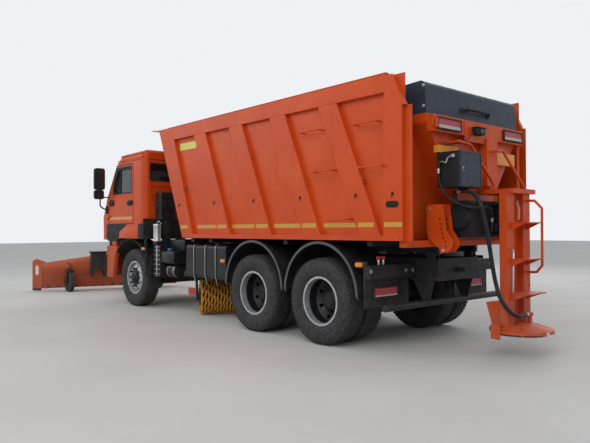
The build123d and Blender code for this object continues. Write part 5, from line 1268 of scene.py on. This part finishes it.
@dataclass(frozen=True)
class RoadBrush(Slanted):
    """Roller of amber bristle rings under the frame.

    Args:
        half: Half of the roller's length.
        radius: Sweep radius.
        core: Radius of the rings' steel core.
        rings: Number of bristle rings.
        steps: Points round a ring.
        root: Half of a ring's width at its core.
        tip: Half of its width at its rim.
        fibres: Loose fibres on a ring.
        fibre_foot: Distance from the sweep in to a fibre's start.
    """

    middle: Point = (-2295.0, -55.0, 297.0)
    skew: float = 28.0
    half: float = 1050.0
    radius: float = 285.0
    core: float = 112.0
    rings: int = 42
    steps: int = 96
    root: float = 16.0
    tip: float = 14.0
    fibres: int = 150
    fibre_foot: float = 82.0

    def round(self, along: float, out: float, angle: float) -> Vector:
        """Point round the roller."""
        return self.at(along, out * cos(angle), out * sin(angle))

    def roller(self) -> None:
        """Makes the core tube, end plates and shaft."""
        mould = Mould()
        way = tuple(self.axes()[0])
        mould.lathe([(self.core, -self.half), (self.core, self.half)], self.middle, way, 40, False)
        for s in (-1, 1):
            plate, cap = s * self.half, s * (self.half + 8)
            mould.lathe([(30, plate), (150, plate), (150, cap), (30, cap)], self.middle, way, 40)
            for r, low, high in ((25, plate, s * (self.half + 60)), (48, cap, s * (self.half + 22))):
                mould.lathe([(r, low), (r, high)], self.middle, way, 20, False)
        mould.finish("brush_core", "dark", "brush", 0.002, ("brush_roller",))

    def wave(self, ring: int, angle: float) -> float:
        """Sideways wave of a bristle ring."""
        return 9.0 * sin(11 * angle + ring * 1.7)

    def build(self) -> None:
        """Builds the roller, its wavy bristle rings and their loose fibres."""
        self.roller()
        mould = Mould()
        rows: Rows = []
        pitch = 2 * self.half / self.rings
        for ring in range(self.rings):
            base = -self.half + pitch * (ring + 0.5)
            loops: list[list[Vector]] = [[], [], [], []]
            for a in (2 * pi * i / self.steps for i in range(self.steps)):
                side = base + self.wave(ring, a)
                reach = self.radius - 12 + 5.0 * sin(23 * a + ring) + 4.0 * sin(41 * a + 2.3 * ring)
                foot = self.core - 4
                spots = ((base - self.root, foot), (side - self.tip, reach), (side + self.tip, reach - 3),
                         (base + self.root, foot))
                for loop, (along, out) in zip(loops, spots):
                    loop.append(self.round(along, out, a))
            mould.grid(loops, True, False)
            for i in range(self.fibres):
                a = 2 * pi * (i + 0.37 * (ring % 3)) / self.fibres
                along = base + self.wave(ring, a) * 0.9 + (i % 5 - 2) * 7.0
                rows.append((tuple(self.round(along, self.radius - self.fibre_foot, a)),
                             tuple(self.round(0, 1.0, a) - self.round(0, 0, 0))))
        mould.finish("brush_mats", "bristle", "brush", 0.0)
        BristleTree().strew("brush_fibres", rows, "bristle", "brush", Fibre_length=0.078, Fibre_radius=0.0022,
                            Scatter=0.16, Seed=11)


@dataclass(frozen=True)
class PloughBack(Slanted):
    """Rolled steel skin behind the mouldboard, its top plate and its foot bolts.

    Args:
        half: Half of the blade's length.
        left: Blade's height at its left end.
        right: Blade's height at its right end.
        foot: Height of the cutting edge.
        stations: Sections along the blade.
    """

    middle: Point = (3520.0, -17.0, 0.0)
    skew: float = 17.5
    half: float = 1560.0
    left: float = 580.0
    right: float = 1000.0
    foot: float = 60.0
    stations: int = 15

    def section(self, along: float) -> tuple[list[Vector], list[Vector]]:
        """Lines of the skin at a place along the blade.

        Args:
            along: Distance from the blade's middle, to the left.

        Returns:
            Outer line from the top down, and inner line from the foot up.
        """
        height = self.left + (self.right - self.left) * (self.half - along) / (2 * self.half)
        top = self.foot + height
        spots = [Vector(c) for c in (
            (-0.07 * height - 8, top - 3), (-0.07 * height - 75, top + 2), (-232, max(top - 70, 590)), (-264, 545),
            (-242, 440), (-170, 310), (-126, 215), (-96, 140), (-66, self.foot + 6))]
        line = []
        for a, b, c, d in zip(spots[:1] + spots[:-2], spots[:-1], spots[1:], spots[2:] + spots[-1:]):
            for t in (0, 0.25, 0.5, 0.75):
                line.append(0.5 * (2 * b + (c - a) * t + (2 * a - 5 * b + 4 * c - d) * t * t
                                   + (3 * b - a - 3 * c + d) * t ** 3))
        line.append(spots[-1])
        return [self.at(along, p.x, p.y) for p in line], [self.at(along, p.x + 6, p.y) for p in line][::-1]

    def build(self) -> None:
        """Builds the skin with its ribs, the carrier's pale top plate and the foot bolts."""
        mould = Mould()
        reach = self.half - 12
        outer = self.axes()[1] * -3.5
        spots = [-reach + 2 * reach * i / (self.stations - 1) for i in range(self.stations)]
        mould.grid([sum(self.section(along), []) for along in spots], False, True)
        for along in (-reach, -0.4 * reach, 0.55 * reach, reach):
            ribs = [self.section(along + half) for half in (-5, 5)]
            mould.grid([[p + outer for p in back] + front for back, front in ribs], False, True)
        mould.finish("mouldboard_skin", "plough_orange", "plough_blade", 0.002)
        mould = Mould()
        corners = ((150, -590), (550, -590), (550, -250), (150, -250))
        mould.grid([[self.at(along, front, z) for along, front in corners] for z in (900.5, 907.5)], False, True)
        mould.finish("carrier_top", "trim", "plough_blade", 0.002)
        way = tuple(self.axes()[1] * -1 + Vector((0, 0, 0.2)))
        BOLTS.strew("plough_foot_bolts", [(tuple(self.at(along, -82, 96)), way) for along in range(-1400, 1401, 200)],
                    "dark", "plough_blade", Head_radius=0.014, Head_height=0.012)


@dataclass(frozen=True)
class Piece:
    """One detail, given by its shapes; a row holds what Mould's method of that name takes.

    Args:
        name: Piece's name.
        finish: Short name of its material.
        body: CAD body that it rides on; a pair adds the side's word.
        bevel: Width of rounded edges in metres.
        spread: How it is laid over the two sides.
        blocks: Boxes.
        rods: Round bars.
        tubes: Bent bars.
        prisms: Outlines made thick.
        frames: Flat rings inside an outline.
        lathes: Bodies of revolution.
        rings: Rings of wire.
        replaces: CAD nodes that it stands for.
    """

    name: str
    finish: str
    body: str
    bevel: float
    spread: Spread
    blocks: Shapes = ()
    rods: Shapes = ()
    tubes: Shapes = ()
    prisms: Shapes = ()
    frames: Shapes = ()
    lathes: Shapes = ()
    rings: Shapes = ()
    replaces: tuple[str, ...] = ()

    def build(self) -> None:
        """Makes the piece, or one for each side."""
        for side in Side if self.spread is PAIR else (None,):
            mould = Mould()
            for kind in ("block", "rod", "tube", "prism", "frame", "lathe", "ring"):
                for row in getattr(self, kind + "s"):
                    getattr(mould, kind)(*row)
            if self.spread is BOTH or side is Side.RIGHT:
                mould.flip(self.spread is BOTH)
            end = "_" + side.word if side else ""
            mould.finish(self.name + end, self.finish, self.body + end, self.bevel, self.replaces)


@dataclass(frozen=True)
class BoltRow:
    """Bolt heads of one kind on a body.

    Args:
        name: Piece's name.
        finish: Short name of the material.
        body: CAD body that they ride on.
        way: Direction that the heads face.
        places: Places in drawing millimetres.
        radius: Head's radius in metres.
        height: Head's height in metres.
        both: Whether the truck's other side has them too.
    """

    name: str
    finish: str
    body: str
    way: Point
    places: tuple[Point, ...]
    radius: float
    height: float = 0.009
    both: bool = True

    def build(self) -> None:
        """Makes the heads."""
        rows = [((x, s * y, z), (self.way[0], s * self.way[1], self.way[2]))
                for s in ((1, -1) if self.both else (1,)) for x, y, z in self.places]
        BOLTS.strew(self.name, rows, self.finish, self.body, Head_radius=self.radius, Head_height=self.height)


# Columns of a Piece: name, finish, body, bevel, spread, shapes. Columns of a BoltRow: name, finish, body, direction,
# places, radius, height, both sides.
# Bed: tapes' limits on its ribs and on the sheet between them, hooks and knobs by x and z.
RIB_TAPE = ((-2050, -1840), (-3114, -2881), (-4068, -3817), (-4997, -4750), (-5915, -5683), (-6308, -6062))
SHEET_TAPE = ((-2766, -2246), (-3706, -3178), (-4669, -4124), (-5605, -5074))
HOOKS = ((-1810, 1786), (-2805, 1786), (-3765, 1786), (-4712, 1775), (-5650, 1765), (-6180, 1760))
KNOBS = ((-2020, 2060), (-5795, 1947))
BED_DRESS = (
    Piece("bed_tape", "tape", "bed", 0.0, BOTH, blocks=tuple((a, b, 1249.5, 1251.6, 1418, 1470)
          for a, b in RIB_TAPE) + tuple((a, b, 1194.5, 1196.6, 1418, 1470) for a, b in SHEET_TAPE)),
    Piece("bed_sticker", "lime", "bed", 0.0, ONE, prisms=((rounded(-2230, -1732, 2678, 2790, 14), Y, 1194.5,
          1196.8),)),
    Piece("tarp_hooks", "dark", "bed", 0.002, BOTH, blocks=tuple((x - 16, x + 16, 1249.5, 1253, z - 2, z + 34)
          for x, z in HOOKS), tubes=tuple(([(x, 1250, z + 18), (x, 1268, z + 14), (x, 1271, z - 16),
          (x, 1258, z - 22)], 5, 10, 8) for x, z in HOOKS)),
    Piece("ring_knobs", "dark", "bed", 0.002, BOTH, rods=tuple(((x, 1249, z), (x, 1268, z), 8) for x, z in KNOBS),
          rings=tuple(((x, 1262, z - 26), (0, 1, 0), 24, 4.5) for x, z in KNOBS)),
    Piece("post_slot", "rubber", "bed", 0.002, BOTH, frames=((rounded(-6261, -6089, 1625, 1695, 34), 9, Y, 1249.5,
          1256),), prisms=((rounded(-6255, -6095, 1631, 1689, 28), Y, 1249, 1251.5),)),
    Piece("rear_sill", "orange", "bed", 0.003, ONE, blocks=((-6312, -6218, -1188, 1188, 1198, 1272),)),
    Piece("rail_lip", "orange", "bed", 0.0, BOTH, rods=(((-6095, 1249, 3076), (-1450, 1249, 3076), 7),
          ((-6095, 1249, 2874), (-1600, 1249, 2874), 5))),
)
# Cab: outline of the door's window, mirror shells' boxes and radii, wipers by y.
WINDOW = [(-100, 2085), (650, 2085), (650, 2230), (450, 2525), (-100, 2525)]
MIRRORS = ((1280, 1490, 2180, 2600, 46), (1300, 1490, 1998, 2176, 42))
WIPERS = (420, -380)
CAB_DRESS = (
    Piece("door_tape", "tape", "door", 0.0, PAIR, blocks=((-117, 838, 1239.5, 1241.6, 1590, 1645),)),
    Piece("door_seal", "rubber", "door", 0.004, PAIR, frames=(([(-112, 2070), (690, 2070), (690, 2232), (540, 2578),
          (-112, 2578)], inset(WINDOW, 8), Y, 1222, 1243),), prisms=(([(368, 2080), (392, 2080), (366, 2530),
          (342, 2530)], Y, 1221, 1239),)),
    Piece("door_handle", "plastic", "door", 0.006, PAIR, blocks=((-118, 48, 1238, 1270, 1873, 1917),),
          prisms=((rounded(-140, 70, 1845, 1945, 30), Y, 1239.5, 1243),)),
    Piece("side_turn_block", "plastic", "door", 0.006, PAIR, prisms=((rounded(633, 836, 1858, 1972, 34), Y, 1239.5,
          1258),)),
    # Dark rubber ring round the door: painted shade in the door's gap
    Piece("door_seam", "rubber", "cab", 0.0, BOTH, frames=(([(-166, 1507), (876, 1507), (876, 2054), (508, 2617),
          (-166, 2617)], 13, Y, 1236, 1241.2),)),
    # Dark strips at the roof's base: painted shade in the roof seam
    Piece("roof_seam", "rubber", "cab", 0.0, BOTH, blocks=((-583, -578, 20, 1132, 2648, 2658), (-470, 490, 1238,
          1241.2, 2654, 2663))),
    Piece("rear_pockets", "orange", "cab", 0.004, BOTH, frames=tuple((rounded(640, 1122, low, high, 30), 16, X, -597,
          -579) for low, high in ((2098, 2190), (1925, 2032)))),
    Piece("rear_corner_covers", "plastic", "cab", 0.006, BOTH, prisms=(([(-583, 1238), (-392, 1238), (-392, 1490),
          (-420, 1512), (-583, 1512)], Y, 1236, 1268),), blocks=((-600, -576, 480, 1266, 1232, 1600),)),
    Piece("wheel_arches", "plastic", "cab", 0.002, BOTH, prisms=((arc_band(0, TYRE_R, 696, 711, 28, 151), Y, 880,
          1236), ([(922, 1236), (345, 1236), (390, 1124), (440, 1108), (922, 1108)], Y, 1012, 1195))),
    Piece("fender_steps", "orange", "cab", 0.008, BOTH, prisms=(([(-391, 1243), (395, 1243), (175, 1432),
          (-391, 1432)], Y, 1232, 1270), ([(1232, 1498), (1240, 1498), (1270, 1434), (1270, 1424), (1232, 1424)], X,
          -391, 120), ([(120, 1424), (185, 1424), (120, 1494)], Y, 1232, 1254))),
    Piece("fender_feet", "orange", "cab", 0.004, BOTH, blocks=((565, 725, 1180, 1237, 1101, 1245),)),
    Piece("mirror_shells", "plastic", "cab", 0.008, BOTH, prisms=tuple((rounded(*box), X, 958, 1010)
          for box in MIRRORS), frames=tuple((rounded(*box), 10, X, 950, 960) for box in MIRRORS), blocks=((900, 960,
          1240, 1270, 1720, 1860),), tubes=(([(930, 1260, 1790), (980, 1370, 1850), (980, 1370, 2560)], 14, 50),
          ([(890, 1236, 2035), (975, 1300, 2035), (982, 1368, 2035)], 12, 40)), replaces=("mirrors",)),
    Piece("mirror_panes", "mirror", "cab", 0.0, BOTH, prisms=tuple((rounded(a + 11, b - 11, c + 11, d - 11, r - 8), X,
          954, 958.5) for a, b, c, d, r in MIRRORS)),
    Piece("rear_window_seal", "rubber", "cab", 0.004, BOTH, frames=((rounded(434, 1136, 2264, 2596, 52), 34, X, -586,
          -562),)),
    Piece("drip_rail", "orange", "cab", 0.0, BOTH, rods=(((-540, 1240, 2694), (480, 1240, 2694), 8),)),
    # Dark strips at the cab's rear corners: painted shade in the corner seams
    Piece("corner_seams", "rubber", "cab", 0.0, BOTH, blocks=((-463, -455, 1238, 1240.9, 1520, 2690),)),
    Piece("front_flaps", "rubber", "cab", 0.002, BOTH, blocks=((-628, -616, 880, 1238, 600, 905), (-634, -612, 885,
          1233, 850, 884)), prisms=(([(-634, 850), (-600, 850), (-578, 1238), (-600, 1238)], Y, 1196, 1236),)),
    Piece("side_marker_front", "amber", "cab", 0.004, BOTH, prisms=((rounded(-612, -502, 1042, 1090, 16), Y, 1228,
          1256),)),
    Piece("wiper_arms", "plastic", "cab", 0.0, ONE, tubes=tuple(([(1050, y, 2034), (1040, y - 40, 2080),
          (1012, y - 360, 2112), (985, y - 480, 2140)], 8, 30) for y in WIPERS), lathes=tuple(([(0.5, 0), (22, 0),
          (22, 26), (0.5, 30)], (1036, y, 2020), (0.82, 0, 0.57), 16, False) for y in WIPERS)),
    Piece("wiper_blades", "rubber", "cab", 0.0, ONE, rods=(((1034, 330, 2050), (968, -430, 2140), 7),
          ((1034, -470, 2050), (968, -1020, 2118), 7))),
    Piece("front_plate_frame", "plastic", "chassis", 0.004, ONE, frames=((rounded(-420, 420, 500, 1000, 30), 16, X,
          1190, 1222),)),
    # Darker plough paint in the bumper ends' recesses: painted shade
    Piece("bumper_panels", "plough_orange", "chassis", 0.0, BOTH, prisms=(([(735, 540), (925, 540), (925, 1050),
          (545, 1050), (640, 860)], Y, 1234, 1236.5),)),
    Piece("bumper_edges", "orange", "chassis", 0.003, BOTH, frames=(([(710, 510), (950, 510), (950, 1078),
          (505, 1078), (612, 858)], 20, Y, 1233, 1243),)),
    Piece("headlamp_bezels", "plastic", "chassis", 0.004, BOTH, frames=((rounded(632, 888, 692, 868, 26), 22, X, 1186,
          1206),)),
    Piece("headlamp_bowls", "steel", "chassis", 0.0, BOTH, rings=tuple(((1204.5, y, 780), (1, 0, 0), r, 5)
          for y, r in ((705, 52), (815, 42)))),
)
# Chassis: mudguards' axles, heights of the battery box's ribs, tank's straps by x.
REAR_AXLES = (AXLES["mid"], AXLES["rear"])
RIBS_Z = (640, 720, 800, 880, 960, 1040, 1100)
STRAPS = (-2760, -2480, -2160)
CHASSIS_DRESS = (
    Piece("tank_straps", "zinc", "chassis", 0.001, ONE, frames=tuple((rounded(592, 1209.5, 641, 1179.5, 62), 4.5, X,
          x - 7, x + 7) for x in STRAPS), rods=tuple(((x, 1203, 690), (x - 26, 1186, 556), 5) for x in STRAPS)),
    Piece("tank_hanger", "dark", "chassis", 0.004, ONE, blocks=((-1905, -1785, 600, 1150, 650, 735),)),
    Piece("tank_cap", "plastic", "chassis", 0.002, ONE, lathes=(([(0.5, -8), (50, -8), (52, -2), (52, 22), (47, 30),
          (0.5, 32)], (-2660, 1080, 1178), (0, 0, 1), 28, False),)),
    Piece("side_marker_mid", "amber", "chassis", 0.004, ONE, prisms=((rounded(-3014, -2906, 915, 963, 16), Y, 1198,
          1222),)),
    Piece("side_marker_rear", "amber", "chassis", 0.004, BOTH, prisms=((rounded(-5712, -5604, 968, 1018, 14), Y, 1196,
          1222),)),
    Piece("marker_arms", "dark", "chassis", 0.002, BOTH, blocks=((-5765, -5598, 1184, 1197, 955, 1030),)),
    # Pale grey bands on the mudguards' rims: a painted highlight along the rims
    Piece("guard_edges", "trim", "chassis", 0.003, BOTH, prisms=tuple((arc_band(x, 610, 610, 641.5, 2, 178, 28), Y,
          1218, 1232) for x in REAR_AXLES), rods=tuple(((x + s * 626, 1228, 632), (x + s * 626, 1205, 600), 10)
          for x in REAR_AXLES for s in (-1, 1))),
    Piece("oil_tank", "tank", "chassis", 0.004, ONE, prisms=((rounded(450, 1180, 830, 1042, 40), X, -1500, -1090),
          (rounded(450, 1010, 1030, 1236, 30), X, -1560, -1090))),
    Piece("radiator_skirt", "plastic", "chassis", 0.006, ONE, blocks=((930, 1120, -1120, 1120, 1088, 1178), (890, 940,
          -1000, 1000, 1060, 1110))),
    Piece("battery_ribs", "zinc", "chassis", 0.001, ONE, blocks=tuple((-1053, -847, 1186, 1191.5, z, z + 9)
          for z in RIBS_Z)),
    Piece("battery_strap", "steel", "chassis", 0.001, ONE, blocks=((-960, -936, 1187, 1194, 600, 1128), (-964, -932,
          1187, 1202, 820, 850))),
    Piece("silver_canister", "steel", "chassis", 0.001, ONE, lathes=(([(0.5, 1192), (67, 1192), (70, 1198),
          (70, 1215), (67, 1219), (67, 1460), (70, 1464), (70, 1484), (64, 1500), (20, 1508), (0.5, 1508)],
          (-790, 1100, 0), (0, 0, 1), 36, False),), tubes=(([(-790, 1100, 1500), (-805, 1100, 1545),
          (-850, 1090, 1550), (-862, 1060, 1500)], 8, 20),)),
    Piece("blue_cap", "sky", "chassis", 0.001, ONE, lathes=(([(0.5, 0), (38, 0), (42, 6), (42, 34), (34, 44),
          (0.5, 46)], (-1241, 1100, 1040), (0, 0, 1), 24, False),)),
    Piece("air_tank_bands", "steel", "chassis", 0.0, ONE, lathes=tuple(([(109, -9), (112.5, -9), (112.5, 9),
          (109, 9)], (x, 1010, 700), (1, 0, 0), 40) for x in (-1370, -1170)), rods=(((-1415, 1101, 767),
          (-1125, 1101, 767), 5),)),
    Piece("behind_cab_pipes", "steel", "chassis", 0.0, ONE, tubes=(([(-700, 1000, 1500), (-700, 1070, 1420),
          (-705, 1075, 1190), (-720, 1000, 1130)], 9, 40), ([(-745, 990, 1520), (-748, 1060, 1440),
          (-748, 1062, 1200), (-760, 1000, 1130)], 9, 40))),
    Piece("lamp_bezels", "rubber", "chassis", 0.003, BOTH, frames=((rounded(697, 1121, 616, 742, 12), 15, X, -5806,
          -5778),)),
    Piece("air_couplings", "red", "chassis", 0.001, ONE, lathes=tuple(([(0.5, 60), (24, 60), (27, 66), (27, 92),
          (20, 100), (0.5, 102)], (-5800, y, 990), (0, 0, 1), 20, False) for y in (960, 1040))),
    Piece("coupling_stems", "steel", "chassis", 0.001, ONE, rods=tuple(((-5800, y, 985), (-5800, y, 1052), 14)
          for y in (960, 1040))),
    Piece("bar_plugs", "rubber", "chassis", 0.001, BOTH, lathes=(([(0.5, 0), (32, 0), (32, 70), (40, 72), (40, 78),
          (30, 84), (0.5, 85)], (-5986, 1080, 524), (0, 1, 0), 28, False),)),
)
# Spreader: the chute column's face by x and the links of the chain that hangs on it.
COLUMN = -6930
CHAIN = tuple((COLUMN - 6, 42 - 42 * i / 5 if i < 6 else 16 * (i - 5) / 6, 1692 - 17.4 * i) for i in range(12))
REAR_DRESS = (
    Piece("upper_lamp_bezels", "rubber", "bed", 0.003, BOTH, frames=((rounded(453, 899, 2462, 2593, 12), 15, X, -6516,
          -6489),)),
    Piece("bracket_box", "orange", "bed", 0.002, ONE, blocks=((-6520, -6489, 903, 938, 2472, 2576),),
          tubes=(([(-6500, 938, 2560), (-6500, 968, 2556), (-6500, 972, 2500), (-6500, 948, 2488)], 8, 16),)),
    Piece("camera_case", "plastic", "bed", 0.006, ONE, prisms=((rounded(48, 222, 2462, 2546, 22), X, -6562, -6497),),
          blocks=((-6575, -6500, 40, 230, 2543, 2550),)),
    Piece("camera_eye", "mirror", "bed", 0.0, ONE, lathes=(([(0.5, 0), (26, 0), (30, 3), (30, 10), (22, 12), (10, 15),
          (0.5, 16)], (-6560, 135, 2502), (-1, 0, 0), 28, False),)),
    Piece("camera_lead", "rubber", "bed", 0.0, ONE, tubes=(([(-6520, 222, 2480), (-6524, 262, 2462),
          (-6528, 350, 2400), (-6500, 441, 2352), (-6470, 560, 2330), (-6440, 700, 2300), (-6430, 760, 2215)], 5.5,
          40),)),
    Piece("cabinet_pipe", "steel", "bed", 0.001, ONE, tubes=(([(-6640, 820, 2168), (-6576, 820, 2156),
          (-6553, 820, 2092), (-6510, 820, 2118), (-6466, 820, 2108), (-6472, 818, 2033)], 9, 26),), blocks=((-6660,
          -6620, 798, 832, 2150, 2184),)),
    Piece("cabinet_rim", "grey", "cabinet_door", 0.002, ONE, frames=((rounded(396, 794, 1846, 2214, 12), 12, X, -6720,
          -6714),)),
    Piece("cabinet_lock", "steel", "cabinet_door", 0.0, ONE, lathes=(([(15, 0), (22, 0), (22, 4), (15, 6)],
          (-6716, 740, 2030), (-1, 0, 0), 24),)),
    Piece("hood_handle", "plastic", "hood", 0.0, ONE, tubes=(([(-6396, -268, 2744), (-6448, -240, 2758),
          (-6452, 0, 2761), (-6448, 240, 2758), (-6396, 268, 2744)], 15, 40, 12),), prisms=tuple((rounded(y - 31,
          y + 31, 2712, 2778, 14), X, -6405, -6399) for y in (-269, 269))),
    Piece("column_chain", "steel", "bed", 0.0, ONE, rings=tuple((p, (1, 0, 0) if i % 2 else (0, 1, 0), 11, 3.2, 10)
          for i, p in enumerate(CHAIN))),
    Piece("column_stay", "steel", "bed", 0.001, ONE, rods=(((COLUMN - 8, 133, 1135), (COLUMN - 8, 152, 685), 12),),
          rings=(((COLUMN - 8, 133, 1150), (1, 0, 0), 16, 5),)),
    Piece("dome_marks_red", "red_tape", "bed", 0.0, ONE, prisms=(dome_patch(158, 165), dome_patch(196, 203))),
    Piece("dome_marks_white", "white", "bed", 0.0, ONE, prisms=(dome_patch(166, 173), dome_patch(204, 211))),
    Piece("housing_cover", "dark", "bed", 0.002, ONE, frames=((rounded(-150, 600, 1320, 1680, 30), 20, X, -6708,
          -6699),)),
)
BRUSH_DRESS = (
    Piece("warning_plate_white", "white", "brush_frame", 0.0, ONE, prisms=(([(-1451, 302), (-1166, 296), (-1166, 420),
          (-1451, 425)], Y, 868, 874),)),
    Piece("warning_plate_red", "red_tape", "brush_frame", 0.0, ONE, prisms=(([(-1725, 308), (-1451, 302),
          (-1451, 425), (-1725, 430)], Y, 868, 874),)),
    Piece("warning_arm", "dark", "brush_frame", 0.0, ONE, rods=(((-1735, 868, 365), (-1180, 862, 355), 9),
          ((-1785, 906, 330), (-1715, 868, 362), 12))),
)
BOLT_ROWS = (
    BoltRow("hood_bolts", "steel", "hood", (0, 1, 0), ((-6365, 950, 2940), (-6363, 950, 2719), (-5400, 950, 2719),
          (-5400, 950, 2900)), 0.013),
    BoltRow("beam_bolts", "zinc", "chassis", (-1, 0, 0), ((-5850, 1225, 929), (-5850, 608, 915), (-5850, 480, 915)),
          0.017),
    BoltRow("seven_hole_bolts", "steel", "bed", (0, 1, 0), ((-6330, 806, 1620), (-6500, 806, 1168)), 0.010, 0.007),
    BoltRow("housing_bolts", "dark", "bed", (-1, 0, 0), tuple((-6708, y, z) for y in (-140, 110, 340, 590)
          for z in (1330, 1670)), 0.012, both=False),
    BoltRow("coupling_bolts", "dark", "bed", (0, 1, 0), circle_of(8, 98, (-6600, 665, 1520), Y, 0.5), 0.012,
          both=False),
    BoltRow("column_bolts", "orange", "bed", (-1, 0, 0), tuple((COLUMN, s * 225, z) for s in (-1, 1) for z in (420,
          760, 1180, 1560, 1780)), 0.011, both=False),
    BoltRow("cabinet_bolts", "grey", "cabinet_door", (-1, 0, 0), ((-6721, 412, 1862), (-6721, 412, 2198),
          (-6721, 778, 1862), (-6721, 778, 2198)), 0.007, 0.005, False),
    BoltRow("beam_hopper_bolts", "orange", "bed", (-1, 0, 0), tuple((-6490, y, 2452) for y in (420, 920)), 0.010),
)


def main() -> None:
    """Builds the scene in order."""
    stage = Stage()
    stage.camera()
    for hose in HOSES:
        hose.build()
    stage.light()
    stage.floor()
    dress_frame()
    build_wheels()
    RoadBrush().build()
    PloughBack().build()
    for item in BED_DRESS + CAB_DRESS + CHASSIS_DRESS + REAR_DRESS + BRUSH_DRESS + BOLT_ROWS:
        item.build()


if __name__ == "__main__":
    main()
